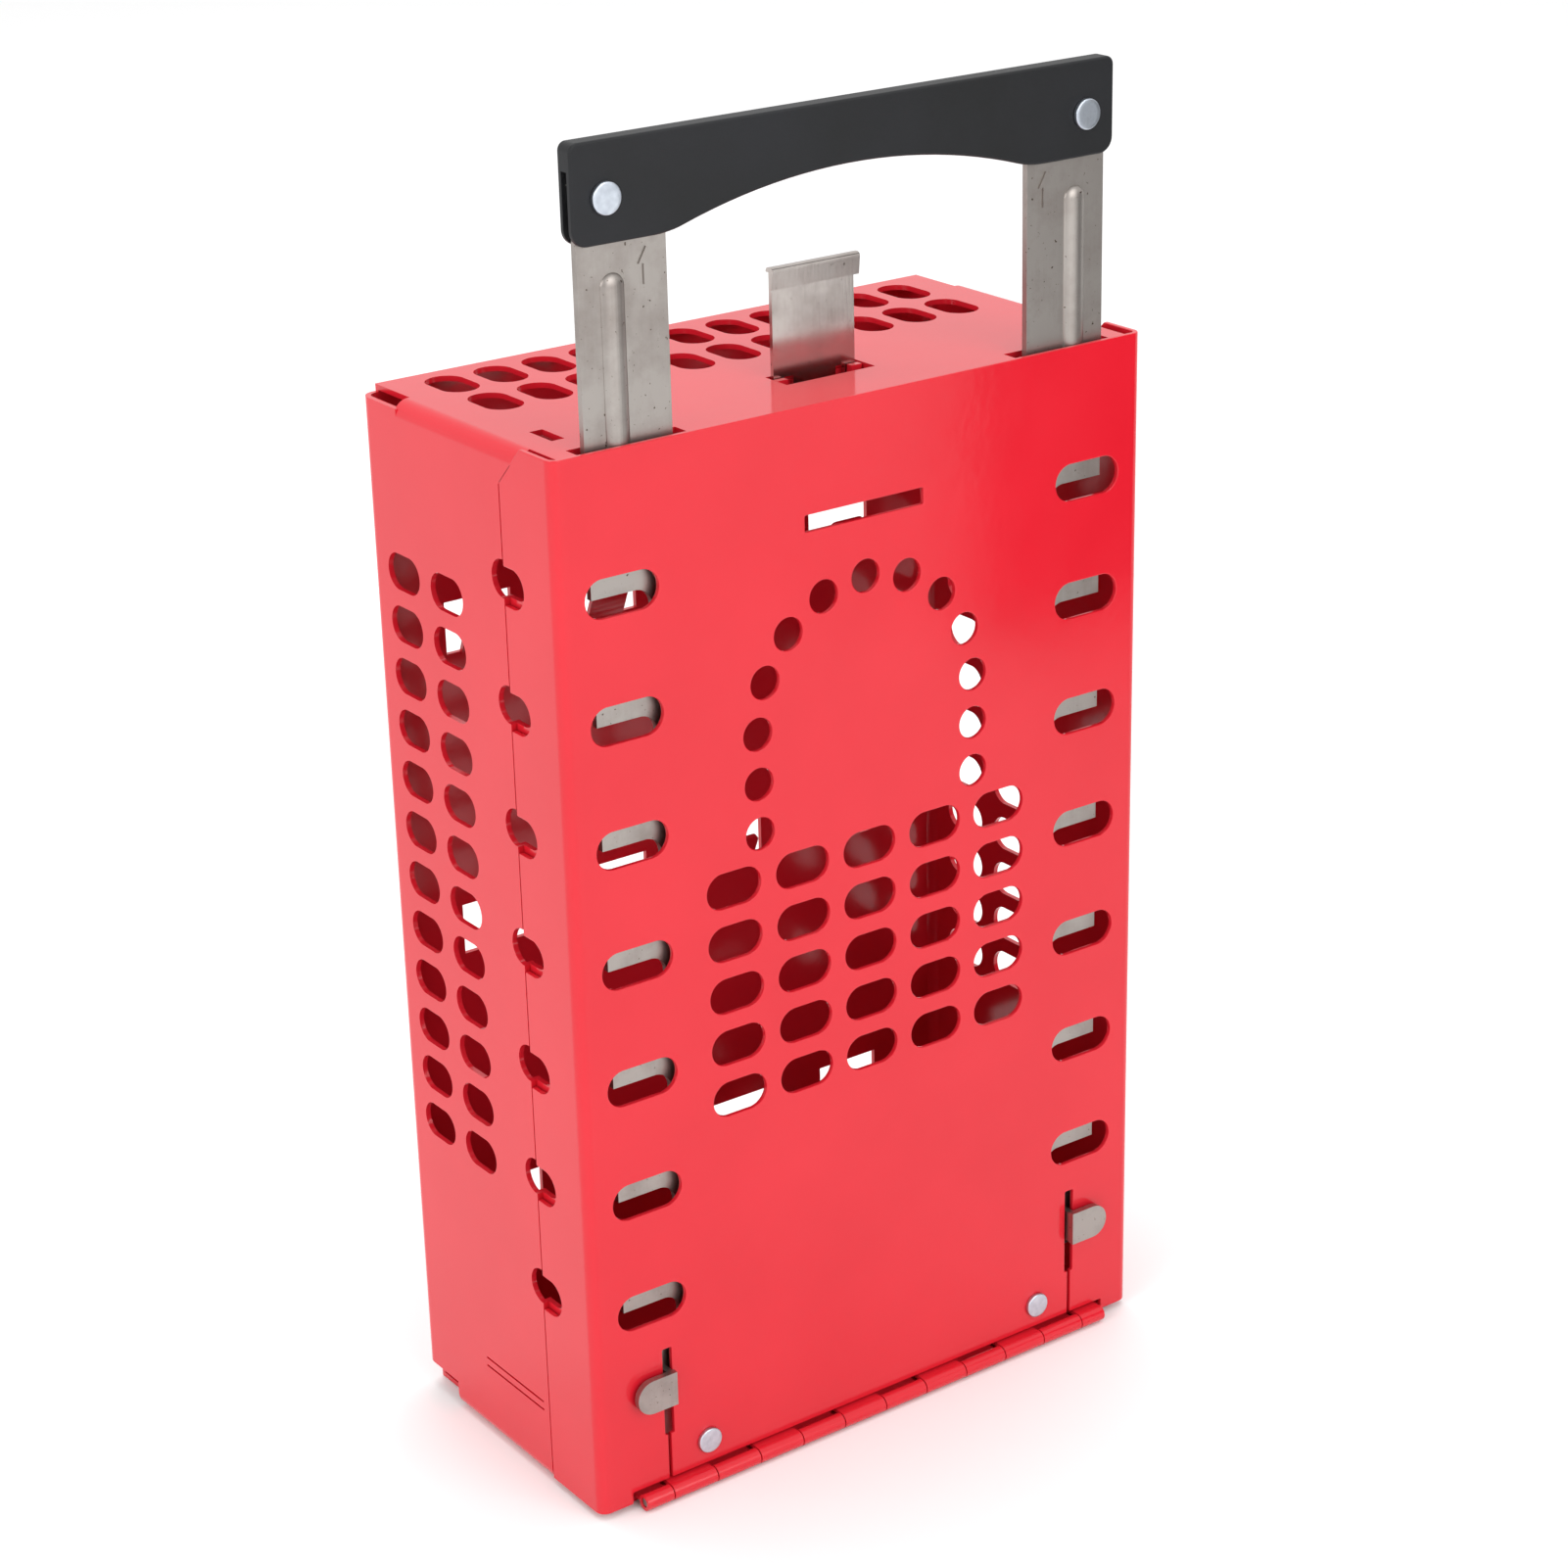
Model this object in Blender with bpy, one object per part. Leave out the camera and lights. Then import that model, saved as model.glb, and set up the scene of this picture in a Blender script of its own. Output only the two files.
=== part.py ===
"""Portable group lockout box: a bare sheet-steel case with a hinged front door, two slotted
locking bars on a lift handle and a sliding latch. Metres, +Z up, origin at the middle of the
underside, front towards -Y."""

import math

import bmesh
import bpy
from mathutils import Matrix

MM = 0.001

# Driving sizes of the case, in millimetres.
WIDTH = 153.0
DEPTH = 75.0
HEIGHT = 242.5
SHEET = 1.2
BEND = 3.5
DOOR_BEND = 2.5
WELD_GAP = 0.2
FIT = 0.3
RIVET_FIT = 0.12

# Door: a front sheet with two side flanges that overlap the case.
DOOR_FOOT = 1.4
DOOR_RISE = 0.5
FLANGE_DEPTH = 19.9
FLANGE_CHAMFER = 7.8
SEAM = 0.4

# Notches where the case's sheets meet at the rear corners.
NOTCH_IN = 4.0
NOTCH_TOP = 60.6
NOTCH_FOOT = 59.5
NOTCH_FOOT_HIGH = 6.7
NOTCH_TOP_LOW = 1.6

# Padlock slots, in two columns at the front and one on each side.
SLOT_ROWS = 7
SLOT_PITCH = 27.25
SLOT_LOW = 49.1
SLOT_OUT = 61.0
SLOT_LENGTH = 17.7
SLOT_HEIGHT = 8.4
SIDE_SLOT_FRONT = 12.5
SIDE_SLOT_BACK = 24.5
SIDE_SLOT_RISE = 1.4

# Rows of vent slots and the padlock picture on the door.
VENT_HEIGHT = 8.2
GRID = (5, 5)
GRID_PITCH = (18.0, 12.22)
GRID_LOW = 92.6
GRID_VENT = 14.0
SHACKLE_RADIUS = 28.8
SHACKLE_CENTRE = 174.6
SHACKLE_HOLE = 3.68
SHACKLE_STEPS = 8
SHACKLE_LEG_PITCH = 11.25
SIDE_VENTS = 12
SIDE_VENT_PITCH = 11.87
SIDE_VENT_LOW = 74.0
SIDE_VENT = 13.0
VENT_ROWS = (43.3, 60.8)
TOP_VENTS = 11
TOP_VENT_PITCH = 12.05
TOP_VENT = (8.8, 14.4)
TOP_VENT_ROWS = (46.4, 63.9)
KEY_SLOT = (31.0, 3.6)
KEY_SLOT_Z = 217.9

# Locking bars and handle. They rest LIFT below the height at which padlocks fit, and can DROP further.
BAR_IN = 45.8
BAR_WIDTH = 21.0
BAR_SHEET = 1.5
BAR_GAP = 0.2
BAR_FOOT = 21.6
BEAD_OUT = 58.8
BEAD_WIDTH = 5.8
BEAD_HEIGHT = 1.2
BEAD_LOW = HEIGHT - 24.5
BEAD_HIGH = HEIGHT + 34.9
LIFT = 5.0
DROP = 8.4
EAR_OUT = 57.7
EAR_REACH = 67.2
EAR_HEIGHT = 8.2
EAR_MIDDLE = 28.2
EAR_NECK = (24.3, 32.0)
EAR_FIT = 0.45
EAR_GAP = 1.0
GUIDE = (HEIGHT - 18.5, HEIGHT - 9.5)
HANDLE_HALF = 68.2
HANDLE_LOW = HEIGHT + 40.9
HANDLE_HIGH = HANDLE_LOW + 20.4
HANDLE_ARCH = 7.4
HANDLE_ARCH_HALF = 45.5
HANDLE_CORNERS = (3.4, 1.8)
HANDLE_SHEET = 1.3
HANDLE_FOLD = 5.6
HANDLE_RIVET = (60.5, HANDLE_LOW + 9.1, 3.3)

# Piano hinge along the front bottom edge.
PIN_FORWARD = 1.6
BARREL = 1.9
PIN = 1.0
PIN_HOLE = 1.1
HINGE_HALF = 66.5
KNUCKLES = 12
KNUCKLE_PITCH = 11.86
LEAF_SHEET = 1.0
DOOR_LEAF_HIGH = 14.3
BODY_LEAF_BACK = 18.0
DOOR_RIVET = (47.5, 10.2, 3.0)
BODY_RIVET_BACK = 11.0
RIVET_SHANK = 1.9
RIVET_HEAD = 0.9
SEAT_RADIUS = 3.0
SEAT_DEEP = 0.6

# Sliding latch behind the middle of the door.
LATCH_MIDDLE = 4.5
LATCH_WIDTH = 21.4
LATCH_SLOT = LATCH_WIDTH + 1.8
LATCH_BACK = 23.0
LATCH_SHEET = 1.0
LATCH_HIGH = HEIGHT + 23.9
LATCH_LEG = 2.9
LATCH_LEG_LOW = HEIGHT - 13.5
LATCH_EAR = (2.2, 6.0)
LIP_WIDTH = LATCH_WIDTH + 1.4
LIP_DROP = 4.8
LIP_REACH = 1.6
LATCH_FLOOR = HEIGHT - 20.5
CATCH_WIDTH = LATCH_WIDTH - 2 * LATCH_LEG - 0.8
CATCH_RIM = 1.8
CATCH_Z = HEIGHT - 6.8
LATCH_NOSE = CATCH_WIDTH - 2 * CATCH_RIM
CATCH_BACK = 28.0

# Key hooks lanced out of the back, four to a row.
HOOK_COLUMNS = (-51.4, -18.4, 14.6, 47.6)
HOOK_TOPS = (46.5, 118.75, 191.0)
HOOK_WINDOW = (17.0, 12.0)
HOOK_TONGUE = (9.6, 10.0)
HOOK_LEAN = 24.0

RED = (0.80, 0.035, 0.055, 1.0)
STEEL = (0.46, 0.43, 0.41, 1.0)
ZINC = (0.66, 0.70, 0.74, 1.0)
BLACK = (0.035, 0.036, 0.04, 1.0)

HALF = WIDTH / 2
SLOTS = [SLOT_LOW + SLOT_PITCH * row for row in range(SLOT_ROWS)]
PIN_Y = -PIN_FORWARD
PIN_Z = BARREL
BAR_FRONT = SHEET + BAR_GAP + BEAD_HEIGHT
BAR_BACK = BAR_FRONT + BAR_SHEET


def clear_scene():
    for obj in list(bpy.data.objects):
        bpy.data.objects.remove(obj, do_unlink=True)


def new_collection(name):
    collection = bpy.data.collections.new(name)
    bpy.context.scene.collection.children.link(collection)
    return collection


clear_scene()
PARTS = new_collection("group_lockout_box")
CUTTERS = new_collection("cutters")


def finish(name, colour, roughness, metallic):
    """A plain material for one sub-part."""
    material = bpy.data.materials.new(name)
    material.use_nodes = True
    shader = material.node_tree.nodes["Principled BSDF"]
    shader.inputs["Base Color"].default_value = colour
    shader.inputs["Roughness"].default_value = roughness
    shader.inputs["Metallic"].default_value = metallic
    return material


def paint(name):
    return finish(name, RED, 0.25, 0.0)


def steel(name):
    return finish(name, STEEL, 0.4, 1.0)


def zinc(name):
    return finish(name, ZINC, 0.35, 1.0)


# Outlines: lists of (u, v) points in millimetres.


def arc(u, v, radius, start, end, steps):
    """Points of an arc about (u, v), from start to end in degrees, both ends included."""
    turns = [math.radians(start + (end - start) * step / steps) for step in range(steps + 1)]
    return [(u + radius * math.cos(turn), v + radius * math.sin(turn)) for turn in turns]


def rectangle(u0, u1, v0, v1):
    return [(u0, v0), (u1, v0), (u1, v1), (u0, v1)]


def circle(u, v, radius, steps=20):
    return arc(u, v, radius, 0, 360 - 360 / steps, steps - 1)


def stadium(u, v, length, height, steps=6):
    """A slot with round ends, along u if it is longer than high and along v if not."""
    if length >= height:
        radius, run = height / 2, (length - height) / 2
        right = arc(u + run, v, radius, -90, 90, steps)
        return right + arc(u - run, v, radius, 90, 270, steps)
    radius, run = length / 2, (height - length) / 2
    top = arc(u, v + run, radius, 0, 180, steps)
    return top + arc(u, v - run, radius, 180, 360, steps)


def channel(half, web, lip, radius, thickness, steps=5):
    """The section of a sheet bent into a U: its web's outer face is at web, its lips end at lip."""
    side = 1 if lip > web else -1
    bend = web + side * radius
    inner = radius - thickness

    def corner(sign, size):
        points = arc(0, 0, size, 0, 90, steps)
        return [(sign * (half - radius + u), bend - side * v) for u, v in points]

    outer = [(half, lip)] + corner(1, radius) + corner(-1, radius)[::-1] + [(-half, lip)]
    inside = [(thickness - half, lip)] + corner(-1, inner) + corner(1, inner)[::-1]
    return outer + inside + [(half - thickness, lip)]


# Solids.


def place(obj, collection=PARTS):
    for used in list(obj.users_collection):
        used.objects.unlink(obj)
    collection.objects.link(obj)
    return obj


def extruded(name, outlines, along, low, high):
    """A flat outline, with any holes in it, extruded along X, Y or Z from low to high.

    The outline lies in YZ, XZ or XY, and y counts back from the front face of the door."""
    curve = bpy.data.curves.new(name, "CURVE")
    curve.dimensions = "2D"
    curve.fill_mode = "BOTH"
    curve.extrude = (high - low) / 2 * MM
    for outline in outlines:
        spline = curve.splines.new("POLY")
        spline.points.add(len(outline) - 1)
        for point, (u, v) in zip(spline.points, outline):
            point.co = (u * MM, v * MM, 0, 1)
        spline.use_cyclic_u = True
    flat = bpy.data.objects.new(name + "_outline", curve)
    bpy.context.scene.collection.objects.link(flat)
    turn = {
        "X": Matrix(((0, 0, 1, 0), (1, 0, 0, 0), (0, 1, 0, 0), (0, 0, 0, 1))),
        "Y": Matrix.Rotation(math.radians(90), 4, "X"),
        "Z": Matrix.Identity(4),
    }[along]
    middle = (low + high) / 2 * MM
    shift = {"X": (middle, 0, 0), "Y": (0, middle, 0), "Z": (0, 0, middle)}[along]
    bpy.context.view_layer.update()
    evaluated = flat.evaluated_get(bpy.context.evaluated_depsgraph_get())
    mesh = bpy.data.meshes.new_from_object(evaluated)
    mesh.transform(Matrix.Translation((0, -DEPTH / 2 * MM, 0)) @ Matrix.Translation(shift) @ turn)
    bpy.data.objects.remove(flat, do_unlink=True)
    bpy.data.curves.remove(curve)
    return solid(name, mesh)


def solid(name, mesh):
    """An object from a mesh in world coordinates, with its seams welded and its faces turned out."""
    work = bmesh.new()
    work.from_mesh(mesh)
    bmesh.ops.remove_doubles(work, verts=work.verts, dist=0.00001)
    bmesh.ops.recalc_face_normals(work, faces=work.faces)
    work.to_mesh(mesh)
    work.free()
    mesh.name = name
    mesh.materials.clear()
    return place(bpy.data.objects.new(name, mesh))


def cylinder(name, centre, radius, along, low, high, top_radius=None, steps=24):
    """A cylinder or cone from low to high along one axis. centre holds the other two coordinates."""
    work = bmesh.new()
    bmesh.ops.create_cone(
        work,
        cap_ends=True,
        segments=steps,
        radius1=radius * MM,
        radius2=(radius if top_radius is None else top_radius) * MM,
        depth=(high - low) * MM,
    )
    turn = {
        "X": Matrix.Rotation(math.radians(90), 4, "Y"),
        "Y": Matrix.Rotation(math.radians(-90), 4, "X"),
        "Z": Matrix.Identity(4),
    }[along]
    middle = (low + high) / 2
    first, second = centre
    spot = {"X": (middle, first, second), "Y": (first, middle, second), "Z": (first, second, middle)}[along]
    spot = (spot[0] * MM, (spot[1] - DEPTH / 2) * MM, spot[2] * MM)
    bmesh.ops.transform(work, matrix=Matrix.Translation(spot) @ turn, verts=work.verts)
    mesh = bpy.data.meshes.new(name)
    work.to_mesh(mesh)
    work.free()
    return solid(name, mesh)


def combine(obj, other, operation):
    """Joins other to obj or cuts it from obj, and keeps other as a hidden helper."""
    modifier = obj.modifiers.new(other.name, "BOOLEAN")
    modifier.operation = operation
    modifier.object = other
    place(other, CUTTERS)
    other.hide_render = True
    other.display_type = "WIRE"
    return obj


def cut(obj, other):
    return combine(obj, other, "DIFFERENCE")


def join(obj, other):
    return combine(obj, other, "UNION")


def shade(obj, material):
    obj.data.materials.append(material)
    return obj


def mirrored(obj, name, material):
    """The same piece on the other side of the case, as its own object with its shape applied."""
    bpy.context.view_layer.update()
    evaluated = obj.evaluated_get(bpy.context.evaluated_depsgraph_get())
    mesh = bpy.data.meshes.new_from_object(evaluated)
    mesh.transform(Matrix.Scale(-1, 4, (1, 0, 0)))
    return shade(solid(name, mesh), material)


# The case: five sheets welded along their edges.


def flange_room(name):
    """The space that the door's side flanges take, with the seam's gap round them."""
    back = FLANGE_DEPTH + SEAM
    chamfer = FLANGE_CHAMFER + SEAM / 2
    outline = [(-5, -5), (back, -5), (back, HEIGHT - chamfer), (back - chamfer, HEIGHT)]
    outline += [(back - chamfer, HEIGHT + 5), (-5, HEIGHT + 5)]
    inner = HALF - SHEET - FIT
    room = extruded(name, [outline], "X", inner - 0.05, HALF + 5)
    other = extruded(name + "_left", [outline], "X", -HALF - 5, 0.05 - inner)
    return room, other


def clear_of_flanges(obj):
    for room in flange_room(obj.name + "_flange_room"):
        cut(obj, room)


def top_plate():
    """The lid of the case, with its vents, the notches for the bars and the slot for the latch."""
    section = channel(HALF, HEIGHT, HEIGHT - BEND, BEND, SHEET)
    plate = extruded("top_plate", [section], "Y", SHEET + FIT + 0.1, DEPTH - SHEET - WELD_GAP)
    vents = [
        stadium((step - (TOP_VENTS - 1) / 2) * TOP_VENT_PITCH, row, *TOP_VENT)
        for row in TOP_VENT_ROWS
        for step in range(TOP_VENTS)
    ]
    low, high = HEIGHT - 2 * BEND, HEIGHT + 2
    cut(plate, extruded("top_vents", vents, "Z", low, high))
    openings = []
    for side in (-1, 1):
        outer, inner = side * (HALF + 2), side * (HALF - NOTCH_IN)
        openings.append(rectangle(*sorted((outer, inner)), NOTCH_TOP, DEPTH + 2))
        ends = sorted((outer, side * (HALF - 3.0)))
        openings.append(rectangle(*ends, -1, FLANGE_DEPTH - FLANGE_CHAMFER))
        ends = sorted((side * (BAR_IN - 3.2), side * (BAR_IN + BAR_WIDTH + 1.9)))
        openings.append(rectangle(*ends, -1, BAR_BACK + 2.4))
        openings.append(rectangle(*sorted((side * 64.1, side * 67.2)), 14.0, 22.4))
    openings.append(rectangle(*latch_slot()))
    cut(plate, extruded("top_openings", openings, "Z", low, high))
    clear_of_flanges(plate)
    return shade(plate, paint("top_plate"))


def latch_slot():
    """The slot in the top plate that the latch passes through: x0, x1, y0, y1."""
    low, high = LATCH_MIDDLE - LATCH_SLOT / 2, LATCH_MIDDLE + LATCH_SLOT / 2
    return low, high, LATCH_BACK - 6.0, LATCH_BACK + LATCH_SHEET + 0.8


def bottom_plate():
    """The floor of the case. Its underside is what the object stands on."""
    section = channel(HALF, 0, BEND, BEND, SHEET)
    front = DOOR_BEND + FIT
    plate = extruded("bottom_plate", [section], "Y", front, DEPTH - SHEET - WELD_GAP)
    notches = []
    for side in (-1, 1):
        ends = sorted((side * (HALF + 2), side * (HALF - NOTCH_IN)))
        notches.append(rectangle(*ends, NOTCH_FOOT, DEPTH + 2))
    cut(plate, extruded("bottom_notches", notches, "Z", -2, 2 * BEND))
    for side in (-1, 1):
        spot = (side * DOOR_RIVET[0], BODY_RIVET_BACK)
        hole, seat = RIVET_SHANK + RIVET_FIT, SEAT_RADIUS + RIVET_FIT
        cut(plate, cylinder(f"bottom_rivet_hole_{side}", spot, hole, "Z", -1, SHEET + 1))
        cut(plate, cylinder(f"bottom_rivet_seat_{side}", spot, seat, "Z", -1, SEAT_DEEP + RIVET_FIT))
    clear_of_flanges(plate)
    return shade(plate, paint("bottom_plate"))


def back_panel():
    """The back of the case, with its corners notched and the key hooks lanced out of it."""
    section = channel(HALF, DEPTH, DEPTH - BEND, BEND, SHEET)
    panel = extruded("back_panel", [section], "Z", SHEET + WELD_GAP, HEIGHT)
    corners = []
    for side in (-1, 1):
        ends = sorted((side * (HALF + 2), side * (HALF - NOTCH_IN)))
        corners.append(rectangle(*ends, -2, NOTCH_FOOT_HIGH))
        corners.append(rectangle(*ends, HEIGHT - NOTCH_TOP_LOW, HEIGHT + 2))
    cut(panel, extruded("back_corners", corners, "Y", DEPTH - 2 * BEND, DEPTH + 2))
    windows = [
        rectangle(x - HOOK_WINDOW[0] / 2, x + HOOK_WINDOW[0] / 2, top - HOOK_WINDOW[1], top)
        for x in HOOK_COLUMNS
        for top in HOOK_TOPS
    ]
    cut(panel, extruded("hook_windows", windows, "Y", DEPTH - SHEET - 1, DEPTH + 1))
    lean = math.tan(math.radians(HOOK_LEAN))
    for top in HOOK_TOPS:
        foot = top - HOOK_WINDOW[1] - 1.0
        tip = foot + 1.0 + HOOK_TONGUE[1]
        face = DEPTH - SHEET + 0.1
        reach = HOOK_TONGUE[1] * lean
        profile = [(face, foot), (face + SHEET - 0.2, foot), (face + SHEET - 0.2, foot + 1.0)]
        profile += [(face + SHEET - 0.2 - reach, tip), (face - reach, tip), (face, foot + 1.0)]
        for x in HOOK_COLUMNS:
            half = HOOK_TONGUE[0] / 2
            join(panel, extruded(f"hook_{x:.0f}_{top:.0f}", [profile], "X", x - half, x + half))
    return shade(panel, paint("back_panel"))


def right_side():
    """One side wall: its front part is set in, under the door's flange."""
    top, foot = HEIGHT - BEND - WELD_GAP, BEND + WELD_GAP
    back = DEPTH - BEND - WELD_GAP
    seam = FLANGE_DEPTH + SEAM
    corner = HEIGHT - FLANGE_CHAMFER + 0.2
    notch = HEIGHT - NOTCH_TOP_LOW
    outline = [(seam, foot), (NOTCH_FOOT, foot), (NOTCH_FOOT, NOTCH_FOOT_HIGH)]
    outline += [(back, NOTCH_FOOT_HIGH), (back, notch), (NOTCH_TOP, notch), (NOTCH_TOP, top)]
    outline += [(seam - (top - corner), top), (seam, corner)]
    wall = extruded("right_side", [outline], "X", HALF - SHEET, HALF)
    face = HALF - SHEET - FIT
    step = seam + SHEET
    inset = rectangle(SHEET + 2.2, step, foot + 1.8, top - 1.0)
    join(wall, extruded("side_inset", [inset], "X", face - SHEET, face))
    link = rectangle(seam + 0.05, step - 0.05, foot + 2.0, corner - 1)
    join(wall, extruded("side_step", [link], "X", face - SHEET + 0.05, HALF - 0.05))
    ends = SIDE_SLOT_BACK - SIDE_SLOT_FRONT - 0.4
    middle = SIDE_SLOT_BACK - ends / 2
    slots = [stadium(middle, z + SIDE_SLOT_RISE, ends, SLOT_HEIGHT) for z in SLOTS]
    vents = [
        stadium(row, SIDE_VENT_LOW + SIDE_VENT_PITCH * step, SIDE_VENT, VENT_HEIGHT)
        for row in VENT_ROWS
        for step in range(SIDE_VENTS)
    ]
    lances = [rectangle(step + 0.8, 46.5, z, z + 0.5) for z in (17.7, 19.8)]
    cut(wall, extruded("side_openings", slots + vents + lances, "X", face - SHEET - 1, HALF + 1))
    return shade(wall, paint("right_side"))


# The door and what is fixed to it.


def shackle_holes():
    """The holes that draw a padlock's shackle over the grid of vents."""
    step = 180 / SHACKLE_STEPS
    spots = arc(0, SHACKLE_CENTRE, SHACKLE_RADIUS, 0, 180, SHACKLE_STEPS)
    for side in (-1, 1):
        spots += [(side * SHACKLE_RADIUS, SHACKLE_CENTRE - SHACKLE_LEG_PITCH * n) for n in (1, 2)]
    return [circle(x, z, SHACKLE_HOLE, int(360 / step)) for x, z in spots]


def door_panel():
    """The front door: one sheet with side flanges, punched for padlocks, keys and the bars' ears."""
    section = channel(HALF, 0, FLANGE_DEPTH, DOOR_BEND, SHEET)
    door = extruded("door_panel", [section], "Z", DOOR_FOOT, HEIGHT + DOOR_RISE)
    holes = shackle_holes()
    wide, tall = KEY_SLOT
    holes.append(rectangle(-wide / 2, wide / 2, KEY_SLOT_Z - tall / 2, KEY_SLOT_Z + tall / 2))
    for column in range(GRID[0]):
        for row in range(GRID[1]):
            x = (column - (GRID[0] - 1) / 2) * GRID_PITCH[0]
            holes.append(stadium(x, GRID_LOW + row * GRID_PITCH[1], GRID_VENT, VENT_HEIGHT))
    for side in (-1, 1):
        holes += [stadium(side * SLOT_OUT, z, SLOT_LENGTH, SLOT_HEIGHT) for z in SLOTS]
        holes.append(circle(side * DOOR_RIVET[0], DOOR_RIVET[1], RIVET_SHANK + RIVET_FIT))
        holes.append(ear_slot(side))
    edge, relief = HINGE_HALF + 1.5, PIN_Z + BARREL + 0.45
    holes.append(rectangle(-edge, edge, -1, relief))
    cut(door, extruded("door_holes", holes, "Y", -1, SHEET + 0.8))
    low, high = relief - 1, ear_low() + 1
    slits = []
    for side in (-1, 1):
        ends = sorted((side * (EAR_OUT - 0.3), side * (EAR_OUT + 0.5)))
        slits.append(rectangle(*ends, low, high))
    cut(door, extruded("door_slits", slits, "Y", -1, SHEET + 0.8))
    back = FLANGE_DEPTH
    side_slots = [
        arc(SIDE_SLOT_FRONT + SLOT_HEIGHT / 2, z, SLOT_HEIGHT / 2, 90, 270, 8)
        + [(back + 1, z - SLOT_HEIGHT / 2), (back + 1, z + SLOT_HEIGHT / 2)]
        for z in SLOTS
    ]
    chamfer = [(back + 1, HEIGHT - FLANGE_CHAMFER - 1), (back + 1, HEIGHT + 1)]
    chamfer += [(back - FLANGE_CHAMFER - 1, HEIGHT + 1)]
    cut(door, extruded("flange_cuts", side_slots + [chamfer], "X", -HALF - 1, HALF + 1))
    return shade(door, paint("door_panel"))


def ear_low():
    return EAR_NECK[0] - DROP - FIT


def ear_slot(side):
    """The upright slot in the door that the neck of a bar's ear slides in."""
    high = EAR_NECK[1] + LIFT + FIT
    reach = BAR_SHEET / 2 + EAR_FIT
    return rectangle(side * EAR_OUT - reach, side * EAR_OUT + reach, ear_low(), high)


def door_catch():
    """The bent tongue behind the door that the latch drops into."""
    low, high = KEY_SLOT_Z + 6.0, CATCH_Z
    front = SHEET + WELD_GAP
    profile = [(front, low), (front + 1, low), (front + 1, high - 1)]
    profile += [(CATCH_BACK, high - 1), (CATCH_BACK, high), (front, high)]
    half = CATCH_WIDTH / 2
    catch = extruded("door_catch", [profile], "X", LATCH_MIDDLE - half, LATCH_MIDDLE + half)
    reach = LATCH_NOSE / 2 + FIT
    ends = LATCH_MIDDLE - reach, LATCH_MIDDLE + reach
    window = rectangle(*ends, LATCH_BACK - 0.6, LATCH_BACK + LATCH_SHEET + 0.6)
    cut(catch, extruded("catch_window", [window], "Z", high - 3, high + 2))
    return shade(catch, steel("door_catch"))


def bar_guide():
    """A strap behind the door that holds the right bar against it."""
    inner, outer = BAR_IN - 2.0, BAR_IN + BAR_WIDTH + 2.0
    front, back = SHEET + WELD_GAP, BAR_BACK + FIT
    profile = [(inner, front), (inner + 1.3, front), (inner + 1.3, back), (outer - 1.3, back)]
    profile += [(outer - 1.3, front), (outer, front), (outer, back + 1), (inner, back + 1)]
    guide = extruded("bar_guide_right", [profile], "Z", *GUIDE)
    return shade(guide, steel("bar_guide_right"))


def right_bar():
    """One locking bar: a steel strip with a notch at every padlock slot and a bent ear at its foot."""
    outer = BAR_IN + BAR_WIDTH
    high = HANDLE_HIGH - HANDLE_FOLD - FIT
    outline = [(BAR_IN, BAR_FOOT), (outer, BAR_FOOT)]
    radius = SLOT_HEIGHT / 2
    inner = SLOT_OUT - SLOT_LENGTH / 2 + radius
    for z in SLOTS:
        outline += [(outer, z - LIFT - radius)]
        outline += arc(inner, z - LIFT, radius, 270, 90, 8)
        outline += [(outer, z - LIFT + radius)]
    outline += [(outer, high), (BAR_IN, high)]
    hole = circle(HANDLE_RIVET[0], HANDLE_RIVET[1], RIVET_SHANK + RIVET_FIT)
    bar = extruded("bar_right", [outline, hole], "Y", BAR_FRONT, BAR_BACK)
    left, right = EAR_OUT - BAR_SHEET / 2, EAR_OUT + BAR_SHEET / 2
    neck = rectangle(left, right, 0.2 - EAR_GAP - BAR_SHEET, BAR_BACK - 0.2)
    join(bar, extruded("ear_neck", [neck], "Z", *EAR_NECK))
    half = EAR_HEIGHT / 2
    ear = arc(EAR_REACH - half, EAR_MIDDLE, half, -90, 90, 10)
    ear += [(left - 0.1, EAR_MIDDLE + half), (left - 0.1, EAR_MIDDLE - half)]
    join(bar, extruded("ear", [ear], "Y", -EAR_GAP - BAR_SHEET, -EAR_GAP))
    join(bar, bead())
    return shade(bar, steel("bar_right"))


def bead():
    """The stiffening bead pressed forward out of the bar: a long capsule, flattened towards the bar."""
    radius, sunk = BEAD_WIDTH / 2, 0.3
    run = (BEAD_HIGH - BEAD_LOW) / 2 - radius
    work = bmesh.new()
    bmesh.ops.create_uvsphere(work, u_segments=20, v_segments=12, radius=radius * MM)
    for vert in work.verts:
        vert.co.y *= (BEAD_HEIGHT + sunk if vert.co.y < 0 else BAR_SHEET / 2) / radius
        if abs(vert.co.z) > 1e-7:
            vert.co.z += math.copysign(run * MM, vert.co.z)
    middle = (BEAD_LOW + BEAD_HIGH) / 2
    spot = (BEAD_OUT * MM, (BAR_FRONT + sunk - DEPTH / 2) * MM, middle * MM)
    bmesh.ops.transform(work, matrix=Matrix.Translation(spot), verts=work.verts)
    mesh = bpy.data.meshes.new("bead")
    work.to_mesh(mesh)
    work.free()
    return solid("bead", mesh)


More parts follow.
